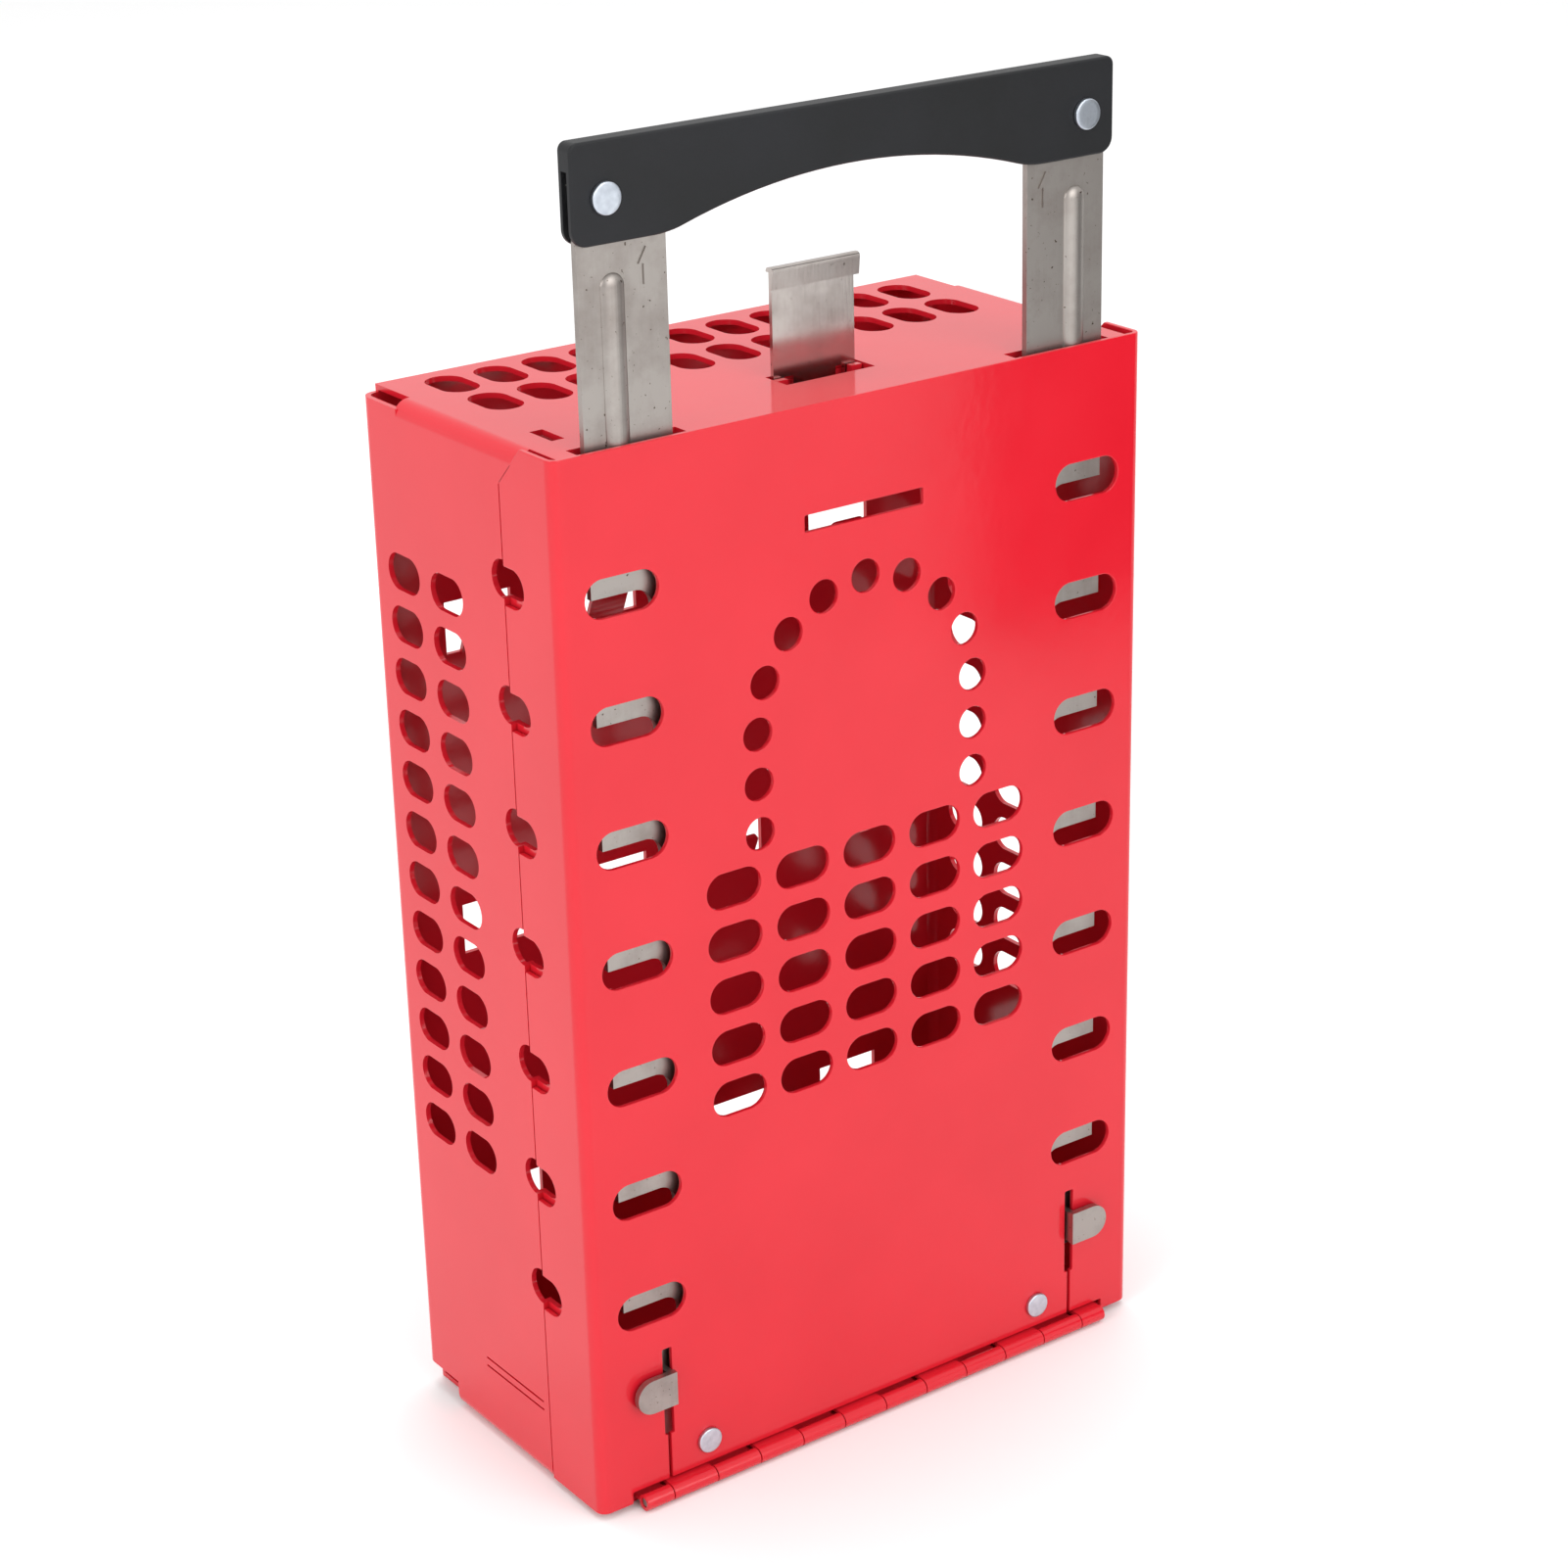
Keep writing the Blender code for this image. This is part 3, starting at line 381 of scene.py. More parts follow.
def blackCoat():
    # satin black dipped coating: matt with a fine grain and a few pale dust specks
    material, tree, shader, place = startMaterial("satinBlackCoat")
    cloud = addNode(tree, "TexNoise", {"Vector": place}, Scale=perMm(22), Detail=6.0)
    shade = addNode(tree, "ValToRGB", {"Fac": cloud.outputs["Fac"]})
    tone = setRamp(shade, [(0.3, srgb("#0F1012")), (0.7, srgb("#15161A"))])
    dots = addNode(tree, "TexNoise", {"Vector": place}, Scale=perMm(1.3), Detail=1.0)
    spread = addNode(tree, "ValToRGB", {"Fac": dots.outputs["Fac"]})
    dust = setRamp(spread, [(0.80, grey(0)), (0.83, grey(0.6))])
    dusty = addNode(tree, "Mix", {"Factor": dust, "A": tone}, data_type="RGBA")
    dusty.inputs["B"].default_value = srgb("#6E6C6A")
    tree.links.new(dusty.outputs["Result"], shader.inputs["Base Color"])
    grain = addNode(tree, "TexNoise", {"Vector": place}, Scale=perMm(0.6), Detail=3.0)
    relief = addNode(tree, "Bump", {"Height": grain.outputs["Fac"]}, Strength=0.25, Distance=0.0001)
    tree.links.new(relief.outputs["Normal"], shader.inputs["Normal"])
    shader.inputs["Roughness"].default_value = 0.5
    shader.inputs["Specular IOR Level"].default_value = 0.32
    return material


paintRed = powderCoat()
steelBar = rolledStainless()
steelLatch = rolledStainless("rolledLatchStrip", (0.9, 1.0, 0.05), "#A29994", "#BBB3AE", 0.24, 0.15)
# a darker copy of the bar stainless, used on the door catch, the bar guides and the hinge pin
steelTab = rolledStainless("darkerStainlessCopy", (1.0, 1.0, 0.5), "#6E6560", "#9A9590")
zinc = zincPlate()
coat = blackCoat()


def wear(piece, material):
    piece.data.materials.clear()
    piece.data.materials.append(material)


def finishPiece(piece, material, body, slot, *replaced):
    wear(piece, material)
    if replaced:
        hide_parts(*replaced)
    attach(piece, body)
    say(f"{piece.name}: {len(piece.data.polygons)} faces")


# the door


slotPlan = dict(rows=7, pitch=27.25, low=49.1, out=61.0, length=17.7, height=8.4)
slotHeights = [slotPlan["low"] + slotPlan["pitch"] * row for row in range(slotPlan["rows"])]
barPlan = dict(
    inner=45.8, outer=66.8, front=2.6, back=4.1, foot=21.6, top=297.9, drop=5.0,
    bead=(58.8, 5.8, 218.0, 277.4), beadRise=1.2, softMm=0.18,
    notchX=64.15, notchLength=24.0, ear=(57.7, 67.2, 28.2, 8.2), neck=(24.3, 32.0), earGap=1.0,
)


def makeDoor():
    plan = dict(half=76.5, deep=19.9, foot=1.4, top=243.0, sheet=1.2, bend=2.5, chamfer=8.3, softMm=0.28)
    grid = dict(columns=5, rows=5, pitch=(18.0, 12.22), low=92.6, size=(14.0, 8.2))
    shackle = dict(radius=28.8, centre=174.6, hole=3.68, steps=8, leg=11.25)
    keyHalf, keyLow, keyHigh = 15.5, 216.1, 219.7
    earHalf, earLow, earHigh = 1.2, 15.6, 37.3
    reliefHalf, reliefDeep, reliefTop = 68.0, 2.2, 4.25
    slitInner, slitOuter, slitLow, slitHigh = 0.3, 0.5, 3.0, 16.4
    sideSlotY, sideSlotLength = 21.25, 17.5
    # every cutting tool for the front sheet reaches from before it to behind it
    before, behind = -1, 2
    half, sheet = plan["half"], plan["sheet"]
    door = addBlock("doorSheet", (-half, 0, plan["foot"]), (half, plan["deep"], plan["top"]))
    roundEdges(door, lambda a, b: runsAlong(a, b, "z") and near(a, b, "y", 0), plan["bend"])
    rearTop = lambda a, b: near(a, b, "y", plan["deep"]) and near(a, b, "z", plan["top"])
    roundEdges(door, rearTop, plan["chamfer"], 1)
    room = addBlock("doorRoom", (sheet - half, sheet, -5), (half - sheet, 40, 260))
    roundEdges(room, lambda a, b: runsAlong(a, b, "z") and near(a, b, "y", sheet), plan["bend"] - sheet)
    cutOut(door, room)

    size = slotPlan["length"], slotPlan["height"]
    long = addSlotTool("slotTool", (-slotPlan["out"], 0.5, slotHeights[0]), *size, 3, "Y")
    columns = (0, 2 * slotPlan["out"])
    tools = copyTo(long, [(x, 0, z - slotHeights[0]) for x in columns for z in slotHeights][1:])
    firstX = -(grid["columns"] - 1) / 2 * grid["pitch"][0]
    vent = addSlotTool("ventTool", (firstX, 0.5, grid["low"]), *grid["size"], 3, "Y")
    across, up = grid["pitch"]
    steps = [(c * across, 0, r * up) for c in range(grid["columns"]) for r in range(grid["rows"])]
    tools += copyTo(vent, steps[1:])
    spots = []
    for n in range(shackle["steps"] + 1):
        turn = math.pi * n / shackle["steps"]
        spots.append((shackle["radius"] * math.cos(turn), shackle["radius"] * math.sin(turn)))
    spots += [(s * shackle["radius"], -shackle["leg"] * n) for s in (-1, 1) for n in (1, 2)]
    first = spots[0][0], 0.5, shackle["centre"] + spots[0][1]
    drill = addRod("drillTool", first, shackle["hole"], 3, "Y")
    tools += copyTo(drill, [(x - spots[0][0], 0, z - spots[0][1]) for x, z in spots[1:]])
    tools.append(addBlock("keySlotTool", (-keyHalf, before, keyLow), (keyHalf, behind, keyHigh)))
    earX = barPlan["ear"][0]
    for side in (-1, 1):
        low, high = (side * earX - earHalf, before, earLow), (side * earX + earHalf, behind, earHigh)
        tools.append(addBlock("earSlotTool", low, high))
    cutOut(door, joinAll(tools))

    first = 0, sideSlotY, slotHeights[0]
    through = addSlotTool("sideSlotTool", first, sideSlotLength, slotPlan["height"], 160, "X")
    cutOut(door, joinAll(copyTo(through, [(0, 0, z - slotHeights[0]) for z in slotHeights[1:]])))
    cutOut(door, addBlock("hingeRelief", (-reliefHalf, before, -1), (reliefHalf, reliefDeep, reliefTop)))
    for side in (-1, 1):
        ends = span(side, earX - slitInner, earX + slitOuter)
        cutOut(door, addBlock("slitTool", (ends[0], before, slitLow), (ends[1], behind, slitHigh)))
    softenEdges(door, plan["softMm"])
    return door


say("door")
finishPiece(makeDoor(), paintRed, "door", "red_powder_coat", "door_panel")


# the case


def makeCase():
    plan = dict(half=76.5, deep=75.0, top=242.5, sheet=1.2, bend=3.5, softMm=0.28)
    bends = dict(front=1.6, back=60.6)
    rears = dict(front=60.0, cornerWidth=4.0, cornerTop=1.6, cornerFoot=6.7)
    flanges = dict(seam=20.05, gap=0.35, top=262, chamfer=28.0)
    insets = dict(gap=0.3, front=3.4, foot=5.5, head=4.7, lap=0.05, stepFoot=5.7, stepHead=9.0)
    floorFront = 2.8
    latchSlot = dict(left=-7.1, right=16.1, front=17.0, back=24.8)
    tabHole = dict(inner=64.1, outer=67.2, front=14.0, back=22.4)
    topNotches = dict(barRoomTool=(42.6, 68.7, 6.5), frontCornerTool=(73.5, 80, 12.1))
    sideSlot = dict(y=18.7, length=11.6, lift=1.4)
    lances = dict(front=22.3, back=46.5, rows=(17.7, 19.8), height=0.5)
    topVents = dict(count=11, pitch=12.05, size=(14.4, 8.8), rows=(46.4, 63.9))
    sideVents = dict(count=12, pitch=11.87, low=74.0, size=(13.0, 8.2), rows=(43.3, 60.8))
    half, deep, top, sheet, bend = (plan[key] for key in ("half", "deep", "top", "sheet", "bend"))
    # the bends along the top and the bottom end at the rear, whose corners are cut away
    case = addBlock("caseShell", (-half, bends["front"], 0), (half, bends["back"], top))
    roundEdges(case, lambda a, b: runsAlong(a, b, "y"), bend)
    rear = addBlock("caseRear", (-half, rears["front"], 0), (half, deep, top))
    roundEdges(rear, lambda a, b: runsAlong(a, b, "z") and near(a, b, "y", deep), bend)
    for side in (-1, 1):
        ends = span(side, half - rears["cornerWidth"], half + 5)
        cutOut(rear, addBlock("cornerTool", (ends[0], 50, top - rears["cornerTop"]), (ends[1], 90, top + 5)))
        cutOut(rear, addBlock("cornerTool", (ends[0], 50, -5), (ends[1], 90, rears["cornerFoot"])))
    weldOn(case, rear)
    room = addBlock("caseRoom", (sheet - half, -20, sheet), (half - sheet, deep - sheet, top - sheet))
    roundEdges(room, lambda a, b: runsAlong(a, b, "z") and near(a, b, "y", deep - sheet), bend - sheet)
    cutOut(case, room)
    seam, above = flanges["seam"], flanges["top"]
    for side in (-1, 1):
        ends = span(side, half - sheet - flanges["gap"], half + 5)
        flange = addBlock("flangeRoom", (ends[0], -20, -20), (ends[1], seam, above))
        upper = lambda a, b: near(a, b, "y", seam) and near(a, b, "z", above)
        roundEdges(flange, upper, flanges["chamfer"], 1)
        cutOut(case, flange)
    cutOut(case, addBlock("floorFront", (-80, -20, -5), (80, floorFront, 20)))
    for side in (-1, 1):
        face = half - sheet - insets["gap"]
        ends = span(side, face - sheet, face)
        low, high = (ends[0], insets["front"], insets["foot"]), (ends[1], seam + sheet, top - insets["head"])
        weldOn(case, addBlock("sideInset", low, high))
        ends = span(side, face - sheet + insets["lap"], half - insets["lap"])
        low = ends[0], seam + insets["lap"], insets["stepFoot"]
        high = ends[1], seam + sheet - insets["lap"], top - insets["stepHead"]
        link = addBlock("sideStep", low, high)
        weldOn(case, link)

    firstX = -(topVents["count"] - 1) / 2 * topVents["pitch"]
    vent = addSlotTool("topVentTool", (firstX, topVents["rows"][0], top), *topVents["size"], 6, "Z")
    rowStep = topVents["rows"][1] - topVents["rows"][0]
    steps = [(n * topVents["pitch"], row, 0) for row in (0, rowStep) for n in range(topVents["count"])]
    tools = copyTo(vent, steps[1:])
    below, above = top - 3, top + 3
    low, high = (latchSlot["left"], latchSlot["front"], below), (latchSlot["right"], latchSlot["back"], above)
    tools.append(addBlock("latchSlotTool", low, high))
    for side in (-1, 1):
        ends = span(side, tabHole["inner"], tabHole["outer"])
        low, high = (ends[0], tabHole["front"], below), (ends[1], tabHole["back"], above)
        tools.append(addBlock("tabHoleTool", low, high))
    cutOut(case, joinAll(tools))
    for side in (-1, 1):
        for name, (inner, outer, back) in topNotches.items():
            ends = span(side, inner, outer)
            cutOut(case, addBlock(name, (ends[0], -5, below), (ends[1], back, above)))

    first = 0, sideVents["rows"][0], sideVents["low"]
    vent = addSlotTool("sideVentTool", first, *sideVents["size"], 170, "X")
    rowStep = sideVents["rows"][1] - sideVents["rows"][0]
    steps = [(0, row, n * sideVents["pitch"]) for row in (0, rowStep) for n in range(sideVents["count"])]
    tools = copyTo(vent, steps[1:])
    first = 0, sideSlot["y"], slotHeights[0] + sideSlot["lift"]
    slot = addSlotTool("sideSlotTool", first, sideSlot["length"], slotPlan["height"], 170, "X")
    tools += copyTo(slot, [(0, 0, z - slotHeights[0]) for z in slotHeights[1:]])
    for z in lances["rows"]:
        low, high = (-85, lances["front"], z), (85, lances["back"], z + lances["height"])
        tools.append(addBlock("lanceTool", low, high))
    cutOut(case, joinAll(tools))

    hooks = dict(columns=(-51.4, -18.4, 14.6, 47.6), tops=(46.5, 118.75, 191.0), window=(17.0, 12.0))
    tongues = dict(half=4.8, tall=11.7, start=0.8, lean=24, corner=1.5)
    wide, tall = hooks["window"]
    windows, hooked = [], []
    for x in hooks["columns"]:
        for z in hooks["tops"]:
            low, high = (x - wide / 2, deep - 3, z - tall), (x + wide / 2, deep + 2, z)
            windows.append(addBlock("windowTool", low, high))
            foot = z - tall - tongues["start"]
            reach, tip = tongues["half"], foot + tongues["tall"]
            tongue = addBlock("hookTongue", (x - reach, deep - 1.1, foot), (x + reach, deep - 0.1, tip))
            upper = lambda a, b: runsAlong(a, b, "y", 0.5) and a.z > foot + 4
            roundEdges(tongue, upper, tongues["corner"], 4)
            pivot = Matrix.Translation(spot(x, deep - 0.6, foot))
            lean = Matrix.Rotation(math.radians(tongues["lean"]), 4, "X")
            tongue.data.transform(pivot @ lean @ pivot.inverted())
            hooked.append(tongue)
    cutOut(case, joinAll(windows))
    weldOn(case, joinAll(hooked))
    softenEdges(case, plan["softMm"])
    return case


say("case")
caseNodes = ("top_plate", "left_side", "right_side", "bottom_plate", "back_panel")
finishPiece(makeCase(), paintRed, "case", "red_powder_coat", *caseNodes)


# locking bars


def makeBar():
    plan = barPlan
    low = plan["inner"], plan["front"], plan["foot"]
    high = plan["outer"], plan["back"], plan["top"]
    bar = addBlock("lockBarRight", low, high)
    first = plan["notchX"], 3.35, slotHeights[0] - plan["drop"]
    notch = addSlotTool("notchTool", first, plan["notchLength"], slotPlan["height"], 4, "Y")
    cutOut(bar, joinAll(copyTo(notch, [(0, 0, z - slotHeights[0]) for z in slotHeights[1:]])))
    earX, reach, middle, tall = plan["ear"]
    gap = plan["earGap"]
    neckFoot, neckTop = plan["neck"]
    neckLow = earX - 0.75, -gap - 1.3, neckFoot
    neckHigh = earX + 0.75, plan["back"] - 0.2, neckTop
    weldOn(bar, addBlock("earNeck", neckLow, neckHigh))
    ear = addBlock("barEar", (earX - 0.85, -gap - 1.5, middle - tall / 2), (reach, -gap, middle + tall / 2))
    outer = lambda a, b: runsAlong(a, b, "y", 0.5) and near(a, b, "x", reach)
    roundEdges(ear, outer, tall / 2 - 0.02, 12)
    weldOn(bar, ear)

    x, wide, low, high = plan["bead"]
    clearSelection()
    bpy.ops.mesh.primitive_uv_sphere_add(segments=64, ring_count=32, radius=wide / 2 * mm)
    bead = bpy.context.object
    for side in (-1, 1):
        pickVerts(bead, lambda p: p.z * side > 1e-6)
        bpy.ops.transform.translate(value=(0, 0, side * ((high - low) - wide) / 2 * mm))
    bpy.ops.object.mode_set(mode="OBJECT")
    pickVerts(bead, lambda p: p.y > 1e-6)
    bpy.ops.transform.resize(value=(1, 0.4, 1), center_override=(0, 0, 0))
    bpy.ops.object.mode_set(mode="OBJECT")
    bead.scale.y = (plan["beadRise"] + 0.3) / (wide / 2)
    bead.location = spot(x, plan["front"] + 0.3, (low + high) / 2)
    bpy.ops.object.transform_apply(location=True, rotation=True, scale=True)
    weldOn(bar, bead)

    # the arrow stamped beside the bead
    front = plan["front"]
    stamp = dict(left=49.95, right=51.45, foot=273.9, neck=278.4, middle=50.7, head=279.2, radius=2.2)
    low, high = (stamp["left"], front - 0.38, stamp["foot"]), (stamp["right"], front + 0.2, stamp["neck"])
    arrow = addBlock("arrowShaft", low, high)
    clearSelection()
    bpy.ops.mesh.primitive_cylinder_add(vertices=3, radius=stamp["radius"] * mm, depth=0.56 * mm)
    head = bpy.context.object
    middle = spot(stamp["middle"], front - 0.09, stamp["head"])
    head.matrix_world = Matrix.Translation(middle) @ turns["Y"]
    bpy.ops.object.transform_apply(location=True, rotation=True, scale=True)
    weldOn(arrow, head)
    softenEdges(bar, plan["softMm"], 2, 32, 16)
    weldOn(bar, arrow)
    cleanUp(bar)
    smoothen(bar, 16)
    return bar


say("locking bars")
barRight = makeBar()
barLeft = mirrorX(barRight, "lockBarLeft")
finishPiece(barRight, steelBar, "handle", "bare_stainless", "bar_right")
finishPiece(barLeft, steelBar, "handle", "bare_stainless", "bar_left")


# grip


def makeGrip():
    plan = dict(half=68.2, low=283.4, high=303.8, front=1.1, back=5.6, foot=3.4, head=1.8)
    arch = dict(rise=7.4, half=45.5, blend=3.5)
    fold = dict(sheet=1.3, thick=5.6, softMm=0.55)
    half, low, high, front, back = (plan[key] for key in ("half", "low", "high", "front", "back"))
    grip = addBlock("gripCover", (-half, front, low), (half, back, high))
    roundEdges(grip, lambda a, b: runsAlong(a, b, "y") and near(a, b, "z", low), plan["foot"], 8)
    roundEdges(grip, lambda a, b: runsAlong(a, b, "y") and near(a, b, "z", high), plan["head"], 6)
    big = (arch["half"] ** 2 + arch["rise"] ** 2) / (2 * arch["rise"])
    cutOut(grip, addRod("archTool", (0, (front + back) / 2, low + arch["rise"] - big), big, 20, "Y", 240))
    cleanUp(grip)
    # the arch runs into the flat underside with a blend
    corner = lambda p: abs(abs(p.x) - arch["half"]) < 3.0
    tips = lambda a, b: runsAlong(a, b, "y") and near(a, b, "z", low, 0.3) and corner(a)
    roundEdges(grip, tips, arch["blend"], 6)
    cleanUp(grip)
    rim = lambda a, b: near(a, b, "y", front) or near(a, b, "y", back)
    roundEdges(grip, rim, fold["softMm"], 4)
    sheet, ceiling = fold["sheet"], high - fold["thick"]
    room = addBlock("gripRoom", (-half - 2, front + sheet, low - 5), (half + 2, back - sheet, ceiling))
    cutOut(grip, room)
    cleanUp(grip)
    smoothen(grip, 40)
    return grip


say("grip")
finishPiece(makeGrip(), coat, "handle", "black_coated_grip", "handle_grip")


# rivets


def makeRivet(name, x, z, face, back, radius, domeMm=(0.0, 0.0, 0.0)):
    # a headed rivet through a sheet stack: the front head lies on face and the tail on back
    head, shank = 0.9, 1.9
    clearSelection()
    bpy.ops.mesh.primitive_cylinder_add(vertices=48, radius=radius * mm, depth=head * mm)
    rivet = bpy.context.object
    rivet.name = name
    rivet.matrix_world = Matrix.Translation(spot(x, face - head / 2, z)) @ turns["Y"]
    bpy.ops.object.transform_apply(location=True, rotation=True, scale=True)
    roundEdges(rivet, lambda a, b: near(a, b, "y", face - head), 0.3, 4)
    bpy.ops.object.mode_set(mode="EDIT")
    bpy.ops.mesh.select_mode(type="FACE")
    bpy.ops.mesh.select_all(action="DESELECT")
    mesh = bmesh.from_edit_mesh(rivet.data)
    for side in mesh.faces:
        side.select_set(drawn(side.calc_center_median()).y < face - head + 0.01)
    bmesh.update_edit_mesh(rivet.data)
    for rise in domeMm:
        bpy.ops.mesh.inset(thickness=radius * 0.22 * mm)
        bpy.ops.transform.translate(value=(0, rise * mm, 0))
    bpy.ops.mesh.select_all(action="DESELECT")
    mesh = bmesh.from_edit_mesh(rivet.data)
    for side in mesh.faces:
        side.select_set(side.normal.y > 0.9 and drawn(side.calc_center_median()).y > face - 0.01)
    bmesh.update_edit_mesh(rivet.data)
    bpy.ops.mesh.inset(thickness=(radius - shank) * mm)
    bpy.ops.mesh.extrude_region_move(TRANSFORM_OT_translate={"value": (0, (back - face) * mm, 0)})
    bpy.ops.mesh.extrude_region_move()
    bpy.ops.transform.resize(value=(radius / shank, 1, radius / shank), center_override=spot(x, back, z))
    bpy.ops.mesh.extrude_region_move(TRANSFORM_OT_translate={"value": (0, 0.5 * mm, 0)})
    bpy.ops.mesh.extrude_region_move(TRANSFORM_OT_translate={"value": (0, 0.3 * mm, 0)})
    bpy.ops.transform.resize(value=(0.88, 1, 0.88), center_override=spot(x, back, z))
    bpy.ops.object.mode_set(mode="OBJECT")
    cleanRivet(rivet)
    return rivet


def cleanRivet(rivet):
    makeActive(rivet)
    bpy.ops.object.mode_set(mode="EDIT")
    bpy.ops.mesh.select_all(action="SELECT")
    bpy.ops.mesh.remove_doubles(threshold=0.000002)
    bpy.ops.mesh.normals_make_consistent(inside=False)
    bpy.ops.object.mode_set(mode="OBJECT")
    smoothen(rivet, 36)


say("rivets")
for word, side in (("left", -1), ("right", 1)):
    grip = makeRivet(f"gripRivet_{word}", side * 60.5, 292.5, 0.98, 5.72, 3.3)
    finishPiece(grip, zinc, "handle", "zinc_rivets", f"handle_rivet_{word}")
    hinge = makeRivet(f"hingeRivet_{word}", side * 47.5, 10.2, -0.12, 2.52, 3.0, (-0.04, -0.03, -0.02))
    finishPiece(hinge, zinc, "door", "zinc_rivets", f"hinge_rivet_door_{word}")


# piano hinge


def makeHinge():
    plan = dict(y=-1.6, z=1.9, barrel=1.9, hole=1.1, half=66.5, gap=0.15, softMm=0.22)
    knuckles = dict(count=12, pitch=11.86)
    doorSheet, caseSheet = ((1.4, 4.1), (2.4, 14.3)), ((3.2, 1.4), (18.0, 2.4))
    joints = [(n - (knuckles["count"] - 2) / 2) * knuckles["pitch"] for n in range(knuckles["count"] - 1)]
    edges = [-plan["half"]] + joints + [plan["half"]]
    ends = [(edges[n] + plan["gap"], edges[n + 1] - plan["gap"]) for n in range(knuckles["count"])]
    doorLeaf = addBlock("doorHingeLeaf", (-plan["half"], *doorSheet[0]), (plan["half"], *doorSheet[1]))
    caseLeaf = addBlock("caseHingeLeaf", (-plan["half"], *caseSheet[0]), (plan["half"], *caseSheet[1]))
    for first, leaf in ((1, doorLeaf), (0, caseLeaf)):
        fingers, rolls = [], []
        for low, high in ends[first::2]:
            middle, length = (low + high) / 2, high - low
            rolls.append(addRod("knuckle", (middle, plan["y"], plan["z"]), plan["barrel"], length, "X", 40))
            if first:
                web = addBlock("finger", (low + 0.1, plan["y"], 2.75), (high - 0.1, 2.3, 3.75))
                rise = addBlock("fingerRise", (low + 0.15, 1.45, 3.0), (high - 0.15, 2.35, 5.0))
                fingers.append(weldOn(web, rise))
            else:
                fingers.append(addBlock("finger", (low + 0.1, plan["y"], 1.45), (high - 0.1, 4.5, 2.35)))
        weldOn(leaf, joinAll(fingers))
        weldOn(leaf, joinAll(rolls))
        cutOut(leaf, addRod("pinHole", (0, plan["y"], plan["z"]), plan["hole"], 160, "X", 32))
        softenEdges(leaf, plan["softMm"], 2, 40)
    return doorLeaf, caseLeaf


say("hinge")
doorLeaf, caseLeaf = makeHinge()
finishPiece(doorLeaf, paintRed, "door", "red_powder_coat", "hinge_door_leaf")
finishPiece(caseLeaf, paintRed, "case", "red_powder_coat", "hinge_body_leaf")


# latch


def makeLatch():
    plan = dict(middle=4.5, half=10.7, front=23.0, back=24.0, top=266.4, foot=229.0, softMm=0.15)
    curl = dict(half=11.4, reach=1.6, drop=4.8, sheet=0.9, tuck=0.55, rollMm=1.0)
    legs = dict(inner=5.6, outer=7.8, top=242.3, noseHalf=7, noseTop=238.1)
    stops = dict(overlap=0.5, reach=2.2, low=236.5, high=241.0)
    middle, half, top = plan["middle"], plan["half"], plan["top"]
    low, high = (middle - half, plan["front"], plan["foot"]), (middle + half, plan["back"], top - 0.8)
    strip = addBlock("latchStrip", low, high)
    for side in (-1, 1):
        ends = sorted((middle + side * legs["outer"], middle + side * legs["inner"]))
        cutOut(strip, addBlock("legGap", (ends[0], 20, 220), (ends[1], 30, legs["top"])))
        ends = sorted((middle + side * (half - stops["overlap"]), middle + side * (half + stops["reach"])))
        weldOn(strip, addBlock("stopEar", (ends[0], 23.02, stops["low"]), (ends[1], 23.98, stops["high"])))
    low, high = (middle - legs["noseHalf"], 20, 220), (middle + legs["noseHalf"], 30, legs["noseTop"])
    cutOut(strip, addBlock("noseTool", low, high))
    # the curled lip: a block with rounded top edges, hollowed from below
    front, rear, wide = plan["front"] - curl["reach"], plan["back"] - 0.02, curl["half"]
    lip = addBlock("curledLip", (middle - wide, front, top - curl["drop"]), (middle + wide, rear, top))
    pickVerts(lip, lambda p: drawn(p).y < front + 0.1 and drawn(p).z < top - 3)
    bpy.ops.transform.translate(value=(0, curl["tuck"] * mm, 0))
    bpy.ops.object.mode_set(mode="OBJECT")
    roundEdges(lip, lambda a, b: runsAlong(a, b, "x") and near(a, b, "z", top), curl["rollMm"], 8)
    inner = front + curl["sheet"] + 0.1
    cutOut(lip, addBlock("lipHollow", (middle - 20, inner, top - 10), (middle + 20, 30, top - 1.1)))
    weldOn(strip, lip)
    softenEdges(strip, plan["softMm"], 2, 36)
    return strip


say("latch")
finishPiece(makeLatch(), steelLatch, "latch", "bare_stainless", "latch_strip")


# solids that stay as they are, with the real finish
wear(nodes["latch_guide"], paintRed)
for name in ("door_catch", "bar_guide_left", "bar_guide_right", "hinge_pin"):
    wear(nodes[name], steelTab)
for name in ("hinge_rivet_body_left", "hinge_rivet_body_right"):
    wear(nodes[name], zinc)


# floor, lights and camera


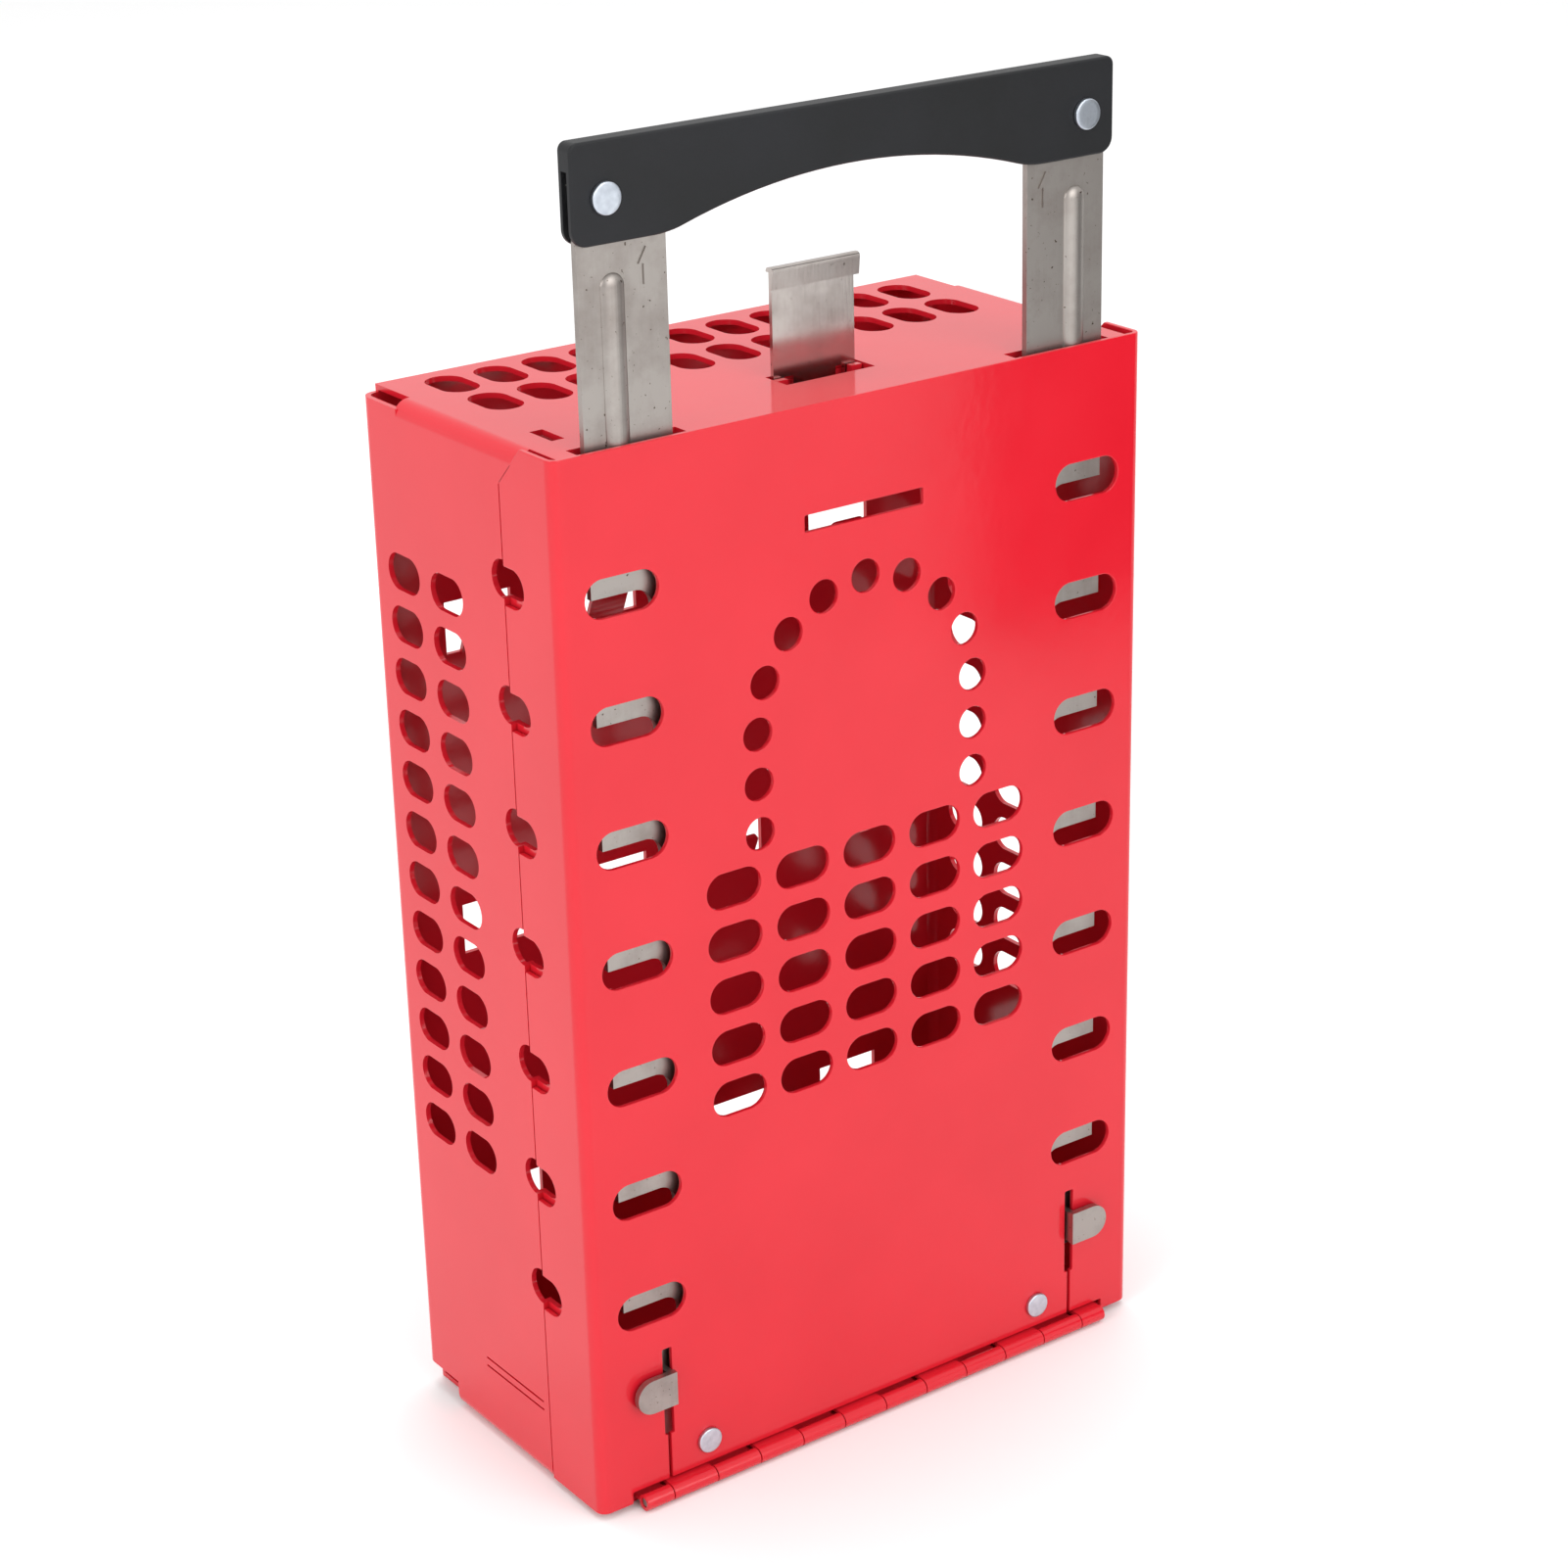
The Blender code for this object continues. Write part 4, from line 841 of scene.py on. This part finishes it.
def makeStudio():
    clearSelection()
    bpy.ops.mesh.primitive_plane_add(size=12, location=(0, 0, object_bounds()[0][2] - 0.0002))
    floor = bpy.context.object
    floor.name = "studioFloor"
    paper, _, shader, _ = startMaterial("palePaper")
    shader.inputs["Base Color"].default_value = srgb("#F2F2F2")
    shader.inputs["Roughness"].default_value = 0.9
    wear(floor, paper)
    floor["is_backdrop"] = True
    # a black card to the right of the front, which the glossy door mirrors
    card = addBlock("blackCard", (350, -400, 1), (1100, -394, 400))
    felt, _, shader, _ = startMaterial("blackFelt")
    shader.inputs["Base Color"].default_value = srgb("#0A0A0A")
    shader.inputs["Roughness"].default_value = 1.0
    shader.inputs["Specular IOR Level"].default_value = 0.0
    wear(card, felt)
    card.visible_camera = False
    card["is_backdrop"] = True
    world = bpy.data.worlds.new("softWhite")
    bpy.context.scene.world = world
    world.use_nodes = True
    world.node_tree.nodes["Background"].inputs["Color"].default_value = (1, 1, 1, 1)
    world.node_tree.nodes["Background"].inputs["Strength"].default_value = 1.0
    lamps = (
        ("frontBox", (0.25, -1.6, 0.9), (0, 0, 0.13), 1.2, 12.5),
        ("leftBox", (-1.5, -0.3, 0.8), (0, 0, 0.13), 0.9, 7),
        ("topBox", (0.1, 0.3, 1.9), (0, 0, 0.13), 1.3, 12),
    )
    for name, place, aim, size, power in lamps:
        light = bpy.data.lights.new(name, "AREA")
        light.shape = "SQUARE"
        light.size = size
        light.energy = power
        lamp = bpy.data.objects.new(name, light)
        lamp.location = place
        lamp.rotation_euler = (Vector(aim) - Vector(place)).to_track_quat("-Z", "Y").to_euler()
        bpy.context.scene.collection.objects.link(lamp)


def makeCamera():
    shot = dict(
        place=(-0.41890, -0.59317, 0.43741), look=(0.53857, 0.75488, -0.37429),
        up=(0.23712, 0.29047, 0.92704), sensor=36, lens=79.95,
    )
    camera = bpy.data.objects.new("studioCamera", bpy.data.cameras.new("studioCamera"))
    bpy.context.scene.collection.objects.link(camera)
    look, up = Vector(shot["look"]).normalized(), Vector(shot["up"]).normalized()
    right = look.cross(up).normalized()
    up = right.cross(look)
    turn = Matrix((right, up, -look)).transposed().to_4x4()
    camera.matrix_world = Matrix.Translation(shot["place"]) @ turn
    camera.data.sensor_width = shot["sensor"]
    camera.data.lens = shot["lens"]
    camera.data.clip_start = 0.01
    bpy.context.scene.camera = camera


say("studio")
makeStudio()
makeCamera()
bpy.context.scene.view_settings.view_transform = "Standard"

visualBox = [list(corner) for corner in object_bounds()]
